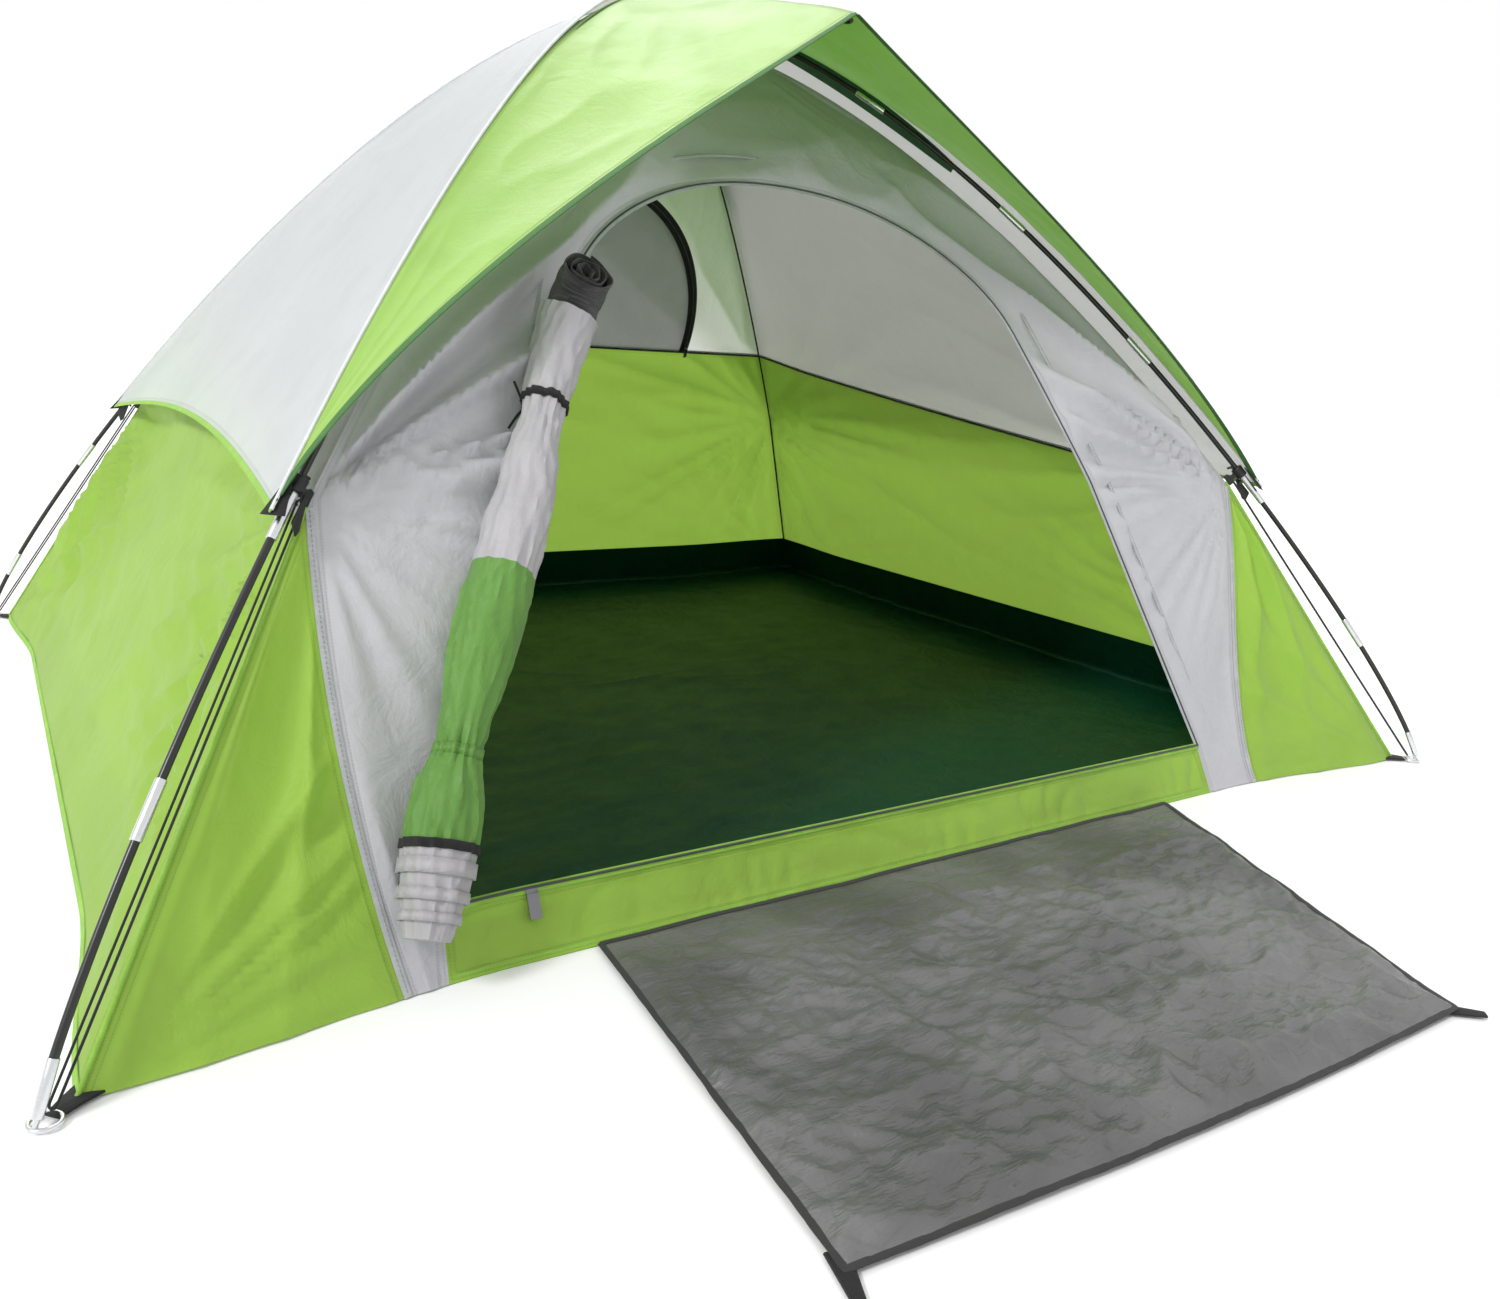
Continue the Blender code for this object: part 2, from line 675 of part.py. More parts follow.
def make_back(lower_cloth, upper_cloth):
    make_walls("back", lower_cloth, upper_cloth)
    seam_length = length_at_height(SEAM_BACK) + 1.5 * SEAM_GAP

    def outline(t):
        sign = -1 if t < 0.5 else 1
        share = 2 * min(t, 1 - t)
        if share > 0.999:
            return 0.0, WALL_TOP
        return sign * 1.0, mix(seam_length, WALL_TOP, share)

    def inside(t):
        across, length = window_edge(t)
        return across * (1 - 2 * SEAM_GAP / WINDOW_HALF), seam_length + (length - seam_length) * 0.992

    def base(t):
        across = mix(inside(0.0)[0], inside(1.0)[0], (1 - math.cos(math.pi * t)) / 2)
        return across, seam_length

    wall_panel("back_wall_upper", "back", window_edge, outline, 20, 4, upper_cloth)
    flap_inside = 0.03
    wall_panel(
        "rear_window_flap",
        "back",
        lambda t: base(mix(flap_inside, 1 - flap_inside, t)),
        lambda t: inside(mix(flap_inside, 1 - flap_inside, t)),
        14,
        3,
        upper_cloth,
    )


def make_floor(dark):
    """Tub floor: a flat sheet turned up inside the walls."""
    out = WALL + 3 * SEAM_GAP
    sides = ("front", "right", "back", "left")
    steps = 20

    def rim_length(side, across):
        height = TUB_HEIGHT
        if side == "front":
            height = mix(TUB_FRONT, TUB_HEIGHT, abs(across) ** 8)
        return length_at_height(height)

    def loop(rim, inward, height=None):
        points = []
        for side in sides:
            for i in range(steps):
                across = 2 * i / steps - 1
                length = rim_length(side, across) if rim else 0.0
                point = wall_point(side, across, length, inward)
                if i == 0:
                    point = at_corner(SIDES[side][0], body_edge(length, inward))
                if height is not None:
                    point.z = height
                points.append(point)
        return points

    shell = bmesh.new()
    loops = []
    for points in (
        loop(False, out, 0.0),
        loop(True, out),
        loop(True, out + TUB_THICKNESS),
        loop(False, out + TUB_THICKNESS, TUB_THICKNESS),
    ):
        loops.append([shell.verts.new(point) for point in points])
    for a, b in zip(loops, loops[1:]):
        for k in range(len(a)):
            shell.faces.new((a[k - 1], a[k], b[k], b[k - 1]))
    shell.faces.new(loops[0])
    shell.faces.new(loops[-1])
    finish("tub_floor", shell, dark)


# ---------------------------------------------------------------- door roll, ties and zip sliders


def front_surface(x, height):
    """Point of the front wall's outer face at this x and height, and its outward direction."""
    length = length_at_height(height)
    point = wall_point("front", across_at("front", x, length), length)
    higher = wall_point("front", across_at("front", x, length), length + 0.01)
    rise = (higher - point).normalized()
    return point, Vector((1, 0, 0)).cross(rise).normalized()


def roll_point(height):
    """Centre of the rolled door where its foot line on the wall has this height."""
    keys = [(z, x) for x, z in (ROLL_FOOT, *ROLL_BENDS, ROLL_HEAD)]
    point, outward = front_surface(ring_half(keys, height), height)
    return point + outward * (ROLL_R + ROLL_CLEARANCE)


def make_door_roll(grey, elastic):
    low, high = ROLL_FOOT[1], ROLL_HEAD[1]
    steps = 10
    path = [roll_point(mix(low, high, i / steps)) for i in range(steps + 1)]
    tube("door_roll", path, Vector((0, 1, 0)), ROLL_R, 0, 12, grey)
    for name, height in zip(("lower", "upper"), TIE_HEIGHTS):
        half = TIE_WIDTH / 2
        path = [roll_point(height + shift) for shift in (-half, 0, half)]
        bore = ROLL_R + TIE_CLEARANCE
        tube(f"roll_tie_{name}", path, Vector((0, 1, 0)), bore + TIE_THICKNESS, bore, 16, elastic)


def make_door_slider(steel):
    """A slider that straddles the zip along the top of the sill, with its pull in front."""
    point, outward = front_surface(door_side(-1, SILL_HEIGHT) + SLIDER_INSET, SILL_HEIGHT)
    up = Vector((1, 0, 0)).cross(outward) * -1
    if up.z < 0:
        up = -up
    clear = 0.0016
    leg = 0.0015
    front = clear
    back = -(WALL + clear)
    flat = [
        (front, -0.006),
        (front, clear),
        (back, clear),
        (back, -0.006),
        (back - leg, -0.006),
        (back - leg, clear + leg),
        (front + leg, clear + leg),
        (front + leg, -0.004),
        (front + 2 * leg, -0.006),
        (front + 2 * leg, -0.034),
        (front + leg, -0.034),
        (front + leg, -0.006),
    ]
    outline = [point + outward * a + up * b for a, b in flat]
    prism("door_zip_slider", outline, Vector((SLIDER_WIDTH, 0, 0)), steel)


def window_slider_points():
    """Lower and upper end of the window slider's straight run, on the wall's inner face."""
    points = []
    for height in (SEAM_BACK + 0.020, SEAM_BACK + 0.020 + WINDOW_SLIDER_RUN):
        rise = (height - SEAM_BACK) / (WINDOW_TOP - SEAM_BACK)
        x = WINDOW_HALF * math.sqrt(1 - rise * rise)
        length = length_at_height(height)
        points.append(wall_point("back", across_at("back", -x, length), length, WALL))
    return points


def make_window_slider(steel):
    """A slider on the inner face of the rear window's zip, with its pull hanging down."""
    low, high = window_slider_points()
    along = (high - low).normalized()
    inward = along.cross(Vector((1, 0, 0))).normalized()
    if inward.y > 0:
        inward = -inward
    side = along.cross(inward).normalized()
    base = low + inward * 0.0045
    flat = [
        (-0.010, 0.0),
        (0.010, 0.0),
        (0.010, 0.004),
        (-0.004, 0.004),
        (-0.006, 0.0055),
        (-0.032, 0.0055),
        (-0.032, 0.004),
        (-0.010, 0.004),
    ]
    outline = [base + along * a + inward * b - side * 0.004 for a, b in flat]
    prism("window_zip_slider", outline, side * 0.008, steel)


# ---------------------------------------------------------------- rainfly


def fly_edge(length, inward=0.0):
    """Where the fly lies over a pole: just outside it, and higher at the crossing."""
    flat = UPPER_ARCH.offset(length, FLY_GAP + WALL - inward)
    crown = FLY_TOP - (UPPER_TOP + FLY_GAP + WALL)
    near_top = smooth(1 - (UPPER_ARCH.length - length) / 0.35)
    return Vector((max(flat.x, 0.0), flat.y + crown * near_top))


def hem_length(across):
    return FLY_CORNER + HEM_RISE * (1 - across * across)


def make_fly_side(side, cloth):
    first, second = SIDES[side][:2]

    def place(inward):
        def at(t, w):
            across = 2 * t - 1
            length = mix(hem_length(across), UPPER_ARCH.length - 0.02, w)
            flat = fly_edge(length, inward)
            a, b = at_corner(first, flat), at_corner(second, flat)
            most = 1 - 2 * GAP / ((b - a).length / 2 + GAP)
            across = min(max(across, -most), most)
            return mix(a, b, (across + 1) / 2)

        return at

    slab(f"fly_{side}_panel", grid(place(0.0), 8, 10), grid(place(WALL), 8, 10), cloth)


def awning_hem(share):
    """Half of the front awning's hem, from the fly's corner at share 0 to the tip at 1: x is positive."""
    corner = at_corner("front_right", fly_edge(FLY_CORNER))
    tip_height = FLY_TOP - AWNING_TIP_DROP
    control = [
        Vector((corner.x, corner.z)),
        Vector((0.84 * corner.x, corner.z + 0.20)),
        Vector((0.375 * corner.x, tip_height - 0.195)),
        Vector((0.0, tip_height)),
    ]
    flat = bezier(control, share)
    lean = (flat.y - corner.z) / (tip_height - corner.z)
    return Vector((flat.x, mix(corner.y - AWNING_START, -AWNING_TIP_Y, lean), flat.y))


def make_awning(name, facing, cloth):
    """Front (facing -1) or rear (facing 1) awning, from the pole seam out to the hem."""

    def place(inward):
        def at(t, w):
            sign = -1 if t < 0.5 else 1
            share = 2 * min(t, 1 - t)
            length = mix(FLY_CORNER, UPPER_ARCH.length, share)
            seam = at_corner("front_right", fly_edge(length, inward))
            seam = seam + Vector((-FOOT_Y * (1 - share), -FOOT_X, 0)) / SPAN * GAP
            hem = awning_hem(share) - Vector((0, 0, inward))
            point = mix(seam, hem, w)
            chord = mix(RIDGE_TOP, ridge_height(AWNING_TIP_Y), w)
            point.z += (ridge_height(point.y) - chord) * share**6
            return Vector((sign * max(point.x, 0.0), -facing * point.y, point.z))

        return at

    slab(name, grid(place(0.0), 26, 4), grid(place(WALL), 26, 4), cloth)


# ---------------------------------------------------------------- mat


def make_mat(tarp):
    rear_y = wall_point("front", 0.0, 0.0).y - MAT_GAP
    left, right = Vector((*MAT_FRONT_LEFT, 0)), Vector((*MAT_FRONT_RIGHT, 0))
    centre = (left + right) / 2
    outline = [Vector((MAT_REAR[0], rear_y, 0)), Vector((MAT_REAR[1], rear_y, 0))]
    edge = (right - left).normalized()
    for corner, turn in ((right, 1), (left, -1)):
        out = (corner - centre).normalized() * 0.6 + Vector((0, -0.8, 0))
        out.normalize()
        side = Vector((out.y, -out.x, 0)) * MAT_TAB_HALF
        inner = corner - edge * turn * MAT_TAB_HALF
        near, far = corner - side, corner + side
        forward = Vector((0, MAT_TAB_HALF, 0))
        tab = [near + forward, near + out * MAT_TAB, far + out * MAT_TAB, inner]
        if turn < 0:
            tab = [inner, near + out * MAT_TAB, far + out * MAT_TAB, far + forward]
        outline += tab
    prism("ground_mat", outline, Vector((0, 0, MAT_THICKNESS)), tarp)


def main():
    for piece in list(bpy.data.objects):
        bpy.data.objects.remove(piece, do_unlink=True)
    fibre = material("black_fibreglass", (0.02, 0.02, 0.022), 0.35)
    steel = material("pole_steel", (0.75, 0.76, 0.78), 0.25, 1.0)
    cord = material("elastic_cord", (0.03, 0.03, 0.03), 0.7)
    plastic = material("black_plastic", (0.02, 0.02, 0.02), 0.45)
    webbing = material("black_webbing", (0.03, 0.03, 0.03), 0.8)
    grey = material("grey_cloth", (0.62, 0.63, 0.65), 0.7)
    fly_grey = material("fly_grey_cloth", (0.70, 0.72, 0.75), 0.6)
    lime = material("lime_cloth", (0.45, 0.72, 0.15), 0.65)
    fly_lime = material("fly_lime_cloth", (0.50, 0.78, 0.22), 0.6)
    dark = material("dark_green_floor", (0.01, 0.07, 0.03), 0.45)
    tarp = material("grey_tarp", (0.16, 0.16, 0.16), 0.5)

    make_pole("pole_a", LOWER_ARCH, "front_left", "back_right", fibre, steel, cord)
    make_pole("pole_b", UPPER_ARCH, "front_right", "back_left", fibre, steel, cord)
    make_ridge_pole(fibre)
    for corner in CORNERS:
        arch = LOWER_ARCH if corner in ("front_left", "back_right") else UPPER_ARCH
        make_anchor(corner, arch, webbing, steel)
        make_clip(corner, arch, plastic)
        make_elastic(corner, cord)
        make_fly_hook(corner, plastic)
    make_floor(dark)
    make_front(grey, lime)
    for side in ("left", "right"):
        make_walls(side, lime, grey)
        make_fly_side(side, fly_grey)
    make_back(lime, grey)
    make_door_roll(grey, cord)
    make_door_slider(steel)
    make_window_slider(steel)
    make_awning("fly_front_awning", -1, fly_lime)
    make_awning("fly_rear_awning", 1, fly_lime)
    make_mat(tarp)


main()
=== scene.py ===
"""The looks of a pitched dome tent: sewn cloth panels, poles and fittings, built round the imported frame."""

import math

import bmesh
import bpy
import numpy as np
from mathutils import Matrix, Vector


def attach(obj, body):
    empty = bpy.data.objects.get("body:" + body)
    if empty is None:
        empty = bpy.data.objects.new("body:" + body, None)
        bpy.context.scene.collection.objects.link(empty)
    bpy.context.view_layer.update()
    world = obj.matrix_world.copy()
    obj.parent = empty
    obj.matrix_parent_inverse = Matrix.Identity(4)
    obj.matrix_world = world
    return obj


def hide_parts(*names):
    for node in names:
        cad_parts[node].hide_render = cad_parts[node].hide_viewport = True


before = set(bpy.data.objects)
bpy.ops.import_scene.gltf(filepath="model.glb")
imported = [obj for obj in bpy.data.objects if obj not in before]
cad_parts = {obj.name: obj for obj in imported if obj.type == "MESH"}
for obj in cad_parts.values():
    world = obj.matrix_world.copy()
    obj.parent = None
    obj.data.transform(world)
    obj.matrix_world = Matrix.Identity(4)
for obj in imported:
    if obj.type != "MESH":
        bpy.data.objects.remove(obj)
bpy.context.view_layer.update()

# Sizes of the tent, in metres, as the frame was built
FOOT_X = 1.10
FOOT_Y = 1.02
POLE_TOP = 1.2345
FOOT_SLOPE = math.radians(71.6)
FOOT_STRAIGHT = 0.20
SHOULDER = 0.347
POLE_R = 0.00425
RUN_CLEARANCE = 0.0007
FERRULE_R = 0.0056
FERRULE_LENGTH = 0.060
FERRULES = [0.28 + 0.325 * i for i in range(12)]
TIP_START = 0.012
TIP_END = 0.062
JOINTS = [0.93, 1.905, 2.88]
RIDGE_REACH = 0.575
RIDGE_DROP = 0.122
RIDGE_BEND = 1.35
STRAP = 0.045
CLIP_AT = 0.645
GROUND = 0.0008
BODY_GAP = 0.026
FRONT_BOW = 0.040
SIDE_BOW = 0.030
BOW_FLAT = 0.60
SEAM_FRONT = 0.470
SEAM_BACK = 0.660
TOP_END = 0.012
TUB_HEIGHT = 0.120
TUB_FRONT = 0.060
DOOR_AXIS = -0.050
DOOR_LEAN = 0.105
DOOR_HALF = {-1: 0.6665, 1: 0.6245}
DOOR_TAPER = 0.36
FLAP_WIDTH = 0.042
DOOR_SPRING = 0.720
DOOR_TOP = 0.925
DOOR_ARCH = 2.2
SILL_HEIGHT = 0.0715
SILL_FOOT = {-1: -0.720, 1: 0.580}
PILLAR_FOOT = {-1: -0.765, 1: 0.698}
PILLAR_CURVE = {-1: 1.0, 1: 1.4}
ROLL_KEYS = [
    (-0.755, 0.052),
    (-0.730, 0.120),
    (-0.698, 0.209),
    (-0.608, 0.388),
    (-0.507, 0.584),
    (-0.401, 0.762),
]
ROLL_R = 0.036
# How full the rolled door is, as shares of ROLL_R, at shares of its length from the hem
ROLL_FULLNESS = (
    (0, 0.62),
    (0.03, 0.80),
    (0.08, 0.98),
    (0.115, 1.02),
    (0.15, 1.06),
    (0.19, 0.94),
    (0.235, 0.62),
    (0.28, 0.76),
    (0.40, 1.0),
    (0.48, 0.98),
    (0.55, 1.0),
    (0.66, 0.86),
    (0.735, 0.64),
    (0.80, 0.80),
    (0.90, 0.98),
    (0.96, 1.04),
    (1.0, 1.02),
)
ROLL_STANDOFF = 0.042
ROLL_HEAD_BEND = (-0.036, -0.092, -0.030)
WINDOW_HALF = 0.420
WINDOW_TOP = 1.010
FLY_GAP = 0.0125
CLOTH = 0.003
FLY_CORNER = 0.600
HEM_RISE = 0.060
AWNING_TIP_Y = 0.589
AWNING_TIP_DROP = 0.1245
MAT_CORNERS = [(-0.543, -0.9534), (0.456, -0.9534), (0.229, -1.517), (-0.597, -1.482)]

SPAN = math.hypot(FOOT_X, FOOT_Y)
CORNERS = {
    "front_left": np.array((-FOOT_X, -FOOT_Y, 0)) / SPAN,
    "front_right": np.array((FOOT_X, -FOOT_Y, 0)) / SPAN,
    "back_right": np.array((FOOT_X, FOOT_Y, 0)) / SPAN,
    "back_left": np.array((-FOOT_X, FOOT_Y, 0)) / SPAN,
}
SIDES = {
    "front": ("front_left", "front_right", (0, 1, 0), FRONT_BOW),
    "right": ("front_right", "back_right", (-1, 0, 0), SIDE_BOW),
    "back": ("back_right", "back_left", (0, -1, 0), FRONT_BOW),
    "left": ("back_left", "front_left", (1, 0, 0), SIDE_BOW),
}
POLES = {"a": ("front_left", "back_right"), "b": ("front_right", "back_left")}
UP = np.array((0.0, 0.0, 1.0))
TENT_HEART = np.array((0.0, 0.0, 0.35))


# ---------------------------------------------------------------- camera


CAMERA_PLACE = (-1.0852, -2.0348, 0.6675)
CAMERA_LENS = 27.87


def make_camera():
    """A camera in front and to the left, turned to the right, down and a little over on its side."""
    yaw, pitch, roll = 0.590, 0.250, 0.057
    forward = Vector((math.sin(yaw) * math.cos(pitch), math.cos(yaw) * math.cos(pitch), -math.sin(pitch)))
    level = Vector((math.cos(yaw), -math.sin(yaw), 0))
    above = level.cross(forward)
    right = level * math.cos(roll) + above * math.sin(roll)
    up = above * math.cos(roll) - level * math.sin(roll)
    data = bpy.data.cameras.new("camera")
    data.sensor_width = 36
    data.lens = CAMERA_LENS
    data.clip_end = 200
    camera = bpy.data.objects.new("camera", data)
    bpy.context.scene.collection.objects.link(camera)
    turn = Matrix((right, up, -forward)).transposed().to_4x4()
    camera.matrix_world = Matrix.Translation(CAMERA_PLACE) @ turn
    bpy.context.scene.camera = camera


make_camera()


# ---------------------------------------------------------------- shape of the tent


def mix(a, b, share):
    return a + (b - a) * share


def smooth(share):
    share = np.clip(share, 0.0, 1.0)
    return share * share * (3 - 2 * share)


class Arch:
    """Half of a bent pole, as radius from the tent's axis and height against length from the foot."""

    def __init__(self, top):
        t = np.linspace(0, 1, 901)[:, None]
        foot = np.array((SPAN, 0.0))
        rise = np.array((-math.cos(FOOT_SLOPE), math.sin(FOOT_SLOPE))) * FOOT_STRAIGHT
        shoulder, crown = np.array((SHOULDER * SPAN, top)), np.array((0.0, top))
        bend = (1 - t) ** 3 * foot + 3 * (1 - t) ** 2 * t * (foot + rise)
        bend = bend + 3 * (1 - t) * t * t * shoulder + t**3 * crown
        self.flat = bend
        steps = np.linalg.norm(np.diff(bend, axis=0), axis=1)
        self.lengths = np.concatenate([[0.0], np.cumsum(steps)])
        self.length = float(self.lengths[-1])

    def at(self, length):
        r = np.interp(length, self.lengths, self.flat[:, 0])
        z = np.interp(length, self.lengths, self.flat[:, 1])
        return np.stack([r, z], -1)

    def slope(self, length):
        a = self.at(np.clip(length - 0.004, 0, self.length))
        b = self.at(np.clip(length + 0.004, 0, self.length))
        return np.arctan2(b[..., 1] - a[..., 1], a[..., 0] - b[..., 0])

    def offset(self, length, outward):
        slope = self.slope(length)
        normal = np.stack([np.sin(slope), np.cos(slope)], -1)
        return self.at(length) + normal * np.asarray(outward)[..., None]


LOWER = Arch(POLE_TOP)
UPPER_TOP = POLE_TOP + 2 * POLE_R + RUN_CLEARANCE
UPPER = Arch(UPPER_TOP)
RIDGE_TOP = UPPER_TOP + 2 * POLE_R + RUN_CLEARANCE
FLY_TOP = RIDGE_TOP + POLE_R + 0.003 + CLOTH
WALL_TOP = LOWER.length - TOP_END


def at_corner(corner, flat):
    return CORNERS[corner] * flat[..., :1] + UP * flat[..., 1:]


def across_vector(corner):
    return np.cross(UP, CORNERS[corner])


def body_edge(length, inward=0.0):
    """A corner of the inner tent as radius and height: straight up to its clip, then close under the pole."""
    length = np.asarray(length, float)
    clip = LOWER.offset(CLIP_AT, -BODY_GAP)
    foot = np.array((SPAN - STRAP, GROUND))
    share = np.clip(length / CLIP_AT, 0, 1)[..., None]
    straight = mix(foot, clip, share)
    low_slope = math.atan2(clip[1] - foot[1], foot[0] - clip[0])
    clip_slope = float(LOWER.slope(CLIP_AT))
    above = LOWER.offset(length, -BODY_GAP)
    below = length < CLIP_AT
    flat = np.where(below[..., None], straight, above)
    slope = np.where(below, mix(low_slope, clip_slope, share[..., 0]), LOWER.slope(length))
    flat = flat - np.stack([np.sin(slope), np.cos(slope)], -1) * inward
    flat[..., 1] = np.maximum(flat[..., 1], GROUND)
    return flat


SEAM_LENGTHS = np.linspace(0, LOWER.length, 1200)
SEAM_HEIGHTS = body_edge(SEAM_LENGTHS)[:, 1]


def length_at_height(height):
    return np.interp(height, SEAM_HEIGHTS, SEAM_LENGTHS)


def half_width(side, length):
    first, second = SIDES[side][:2]
    flat = body_edge(length)
    return np.linalg.norm(at_corner(second, flat) - at_corner(first, flat), axis=-1) / 2


def wall_point(side, across, length, inward=0.0):
    """A point on a wall: across runs from -1 to 1 between its corners, length up along them."""
    first, second, toward, bow = SIDES[side]
    flat = body_edge(length, inward)
    a, b = at_corner(first, flat), at_corner(second, flat)
    pull = bow * (1 - smooth((np.abs(across) - BOW_FLAT) / (1 - BOW_FLAT)))
    pull = pull * np.clip(1 - length / LOWER.length, 0, 1) ** 0.8
    return mix(a, b, ((across + 1) / 2)[..., None]) + np.array(toward) * pull[..., None]


def fly_edge(length, inward=0.0):
    """A corner of the rainfly as radius and height, lifted near the top where the ridge pole holds it."""
    flat = UPPER.offset(length, FLY_GAP + CLOTH - inward)
    crown = FLY_TOP - (UPPER_TOP + FLY_GAP + CLOTH)
    near_top = smooth(1 - (UPPER.length - length) / 0.35)
    return np.stack([np.maximum(flat[..., 0], 0.0), flat[..., 1] + crown * near_top], -1)


def ridge_height(y):
    """Height of the bowed ridge pole."""
    return RIDGE_TOP - RIDGE_DROP * (np.abs(y) / RIDGE_REACH) ** RIDGE_BEND


def bezier(points, share):
    share = np.asarray(share, float)[..., None]
    points = [np.array(p, float) for p in points]
    while len(points) > 1:
        points = [mix(a, b, share) for a, b in zip(points, points[1:])]
    return points[0]


def pole_point(arch, pole, length):
    """Points along a whole pole, measured from its front foot."""
    start, end = POLES[pole]
    length = np.asarray(length, float)
    first = at_corner(start, arch.at(np.minimum(length, arch.length)))
    second = at_corner(end, arch.at(np.minimum(2 * arch.length - length, arch.length)))
    return np.where((length <= arch.length)[..., None], first, second)


# ---------------------------------------------------------------- folds in cloth


def fade(x):
    return x * x * x * (x * (x * 6 - 15) + 10)


def noise(x, y, seed=0.0):
    """Smooth gradient noise, about -1 to 1."""
    x, y = np.asarray(x, float), np.asarray(y, float)
    x0, y0 = np.floor(x), np.floor(y)
    dx, dy = x - x0, y - y0

    def corner(ix, iy):
        turn = np.sin((x0 + ix) * 12.9898 + (y0 + iy) * 78.233 + seed * 37.719) * 437.585
        angle = 2 * math.pi * (turn - np.floor(turn))
        return np.cos(angle) * (dx - ix) + np.sin(angle) * (dy - iy)

    sx, sy = fade(dx), fade(dy)
    low = mix(corner(0, 0), corner(1, 0), sx)
    high = mix(corner(0, 1), corner(1, 1), sx)
    return mix(low, high, sy) * 1.4


def ridges(x, y, seed=0.0, sharp=2.0):
    """Creased noise, 0 in the hollows to 1 along the creases."""
    return np.clip(1 - np.abs(noise(x, y, seed)), 0, 1) ** sharp


def pull_lines(a, b, at, reach, spokes, depth, seed, toward=None, spread=1.0):
    """Folds that run out from a point where the cloth is held. toward is the angle they run to."""
    da, db = a - at[0], b - at[1]
    far = np.hypot(da, db)
    angle = np.arctan2(db, da)
    weight = (far / (0.3 * reach)) * np.exp(1 - far / (0.3 * reach))
    if toward is not None:
        off = np.abs((angle - toward + math.pi) % (2 * math.pi) - math.pi)
        weight = weight * np.exp(-((off / spread) ** 2))
    crease = ridges(angle * spokes, far * 1.1, seed, 2.2) - 0.45
    return depth * weight * crease


# ---------------------------------------------------------------- meshes


FAR_FROM_HEM = 1000.0


def link(name, mesh, mat, body):
    mesh.materials.append(mat)
    mesh.shade_smooth()
    piece = bpy.data.objects.new(name, mesh)
    bpy.context.scene.collection.objects.link(piece)
    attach(piece, body)
    return piece


def unit(vectors):
    return vectors / np.maximum(np.linalg.norm(vectors, axis=-1, keepdims=True), 1e-9)


def grid_normals(points):
    return unit(np.cross(np.gradient(points, axis=0), np.gradient(points, axis=1)))


def faces_in(normals, points, heart=TENT_HEART):
    """Whether these normals point towards the heart of the tent, so that they need turning round."""
    return np.mean(np.sum(normals * (points - heart), -1)) < 0


def turn_faces_out(mesh):
    shell = bmesh.new()
    shell.from_mesh(mesh)
    bmesh.ops.recalc_face_normals(shell, faces=shell.faces)
    shell.to_mesh(mesh)
    shell.free()


def cloth_panel(
    name, points, spread, mat, body, folds=None, held_edges=(1, 1, 1, 1), margin=0.035, out_from=TENT_HEART
):
    """A sheet of cloth through a grid of points, its folds faded out within margin of the held edges.

    spread is the flat (a, b) of each point, in metres.
    """
    a, b = spread
    normals = grid_normals(points)
    flip = faces_in(normals, points, np.array(out_from))
    if flip:
        normals = -normals
    area = grid_area(points)
    hem = np.full(a.shape, FAR_FROM_HEM)
    steps_t = np.linalg.norm(np.diff(points, axis=0), axis=-1)
    steps_w = np.linalg.norm(np.diff(points, axis=1), axis=-1)
    run_t = np.concatenate([np.zeros((1, a.shape[1])), np.cumsum(steps_t, 0)], 0)
    run_w = np.concatenate([np.zeros((a.shape[0], 1)), np.cumsum(steps_w, 1)], 1)
    edges = (run_t, run_t[-1:] - run_t, run_w, run_w[:, -1:] - run_w)
    for held, distance in zip(held_edges, edges):
        if held:
            hem = np.minimum(hem, distance)
    if folds is not None:
        depth = folds(a, b) * smooth(hem / margin)
        points = points + normals * depth[..., None]
    columns, rows = a.shape
    index = np.arange(columns * rows).reshape(columns, rows)
    quads = np.stack([index[:-1, :-1], index[1:, :-1], index[1:, 1:], index[:-1, 1:]], -1).reshape(-1, 4)
    if flip:
        quads = quads[:, ::-1]
    mesh = bpy.data.meshes.new(name)
    mesh.from_pydata(points.reshape(-1, 3).tolist(), [], quads.tolist())
    layer = mesh.uv_layers.new(name="UVMap")
    loops = np.zeros(len(mesh.loops), np.int32)
    mesh.loops.foreach_get("vertex_index", loops)
    flat = np.stack([a.reshape(-1), b.reshape(-1)], -1)[loops]
    layer.data.foreach_set("uv", flat.astype(np.float32).reshape(-1))
    near = mesh.attributes.new("hem", "FLOAT", "POINT")
    near.data.foreach_set("value", np.minimum(hem, 1.0).astype(np.float32).reshape(-1))
    mesh.update()
    piece = link(name, mesh, mat, body)
    piece["flat_area"] = area
    return piece


def grid_area(points):
    p, q, r, s = points[:-1, :-1], points[1:, :-1], points[1:, 1:], points[:-1, 1:]
    one = np.linalg.norm(np.cross(q - p, r - p), axis=-1)
    two = np.linalg.norm(np.cross(r - p, s - p), axis=-1)
    return float((one + two).sum() / 2)


def frames_along(path, hint):
    """Unit vectors along, aside and above for each point of a path."""
    path = np.asarray(path, float)
    along = np.gradient(path, axis=0)
    along /= np.linalg.norm(along, axis=1, keepdims=True)
    hint = np.broadcast_to(np.asarray(hint, float), path.shape)
    aside = unit(np.cross(hint, along))
    return along, aside, np.cross(along, aside)


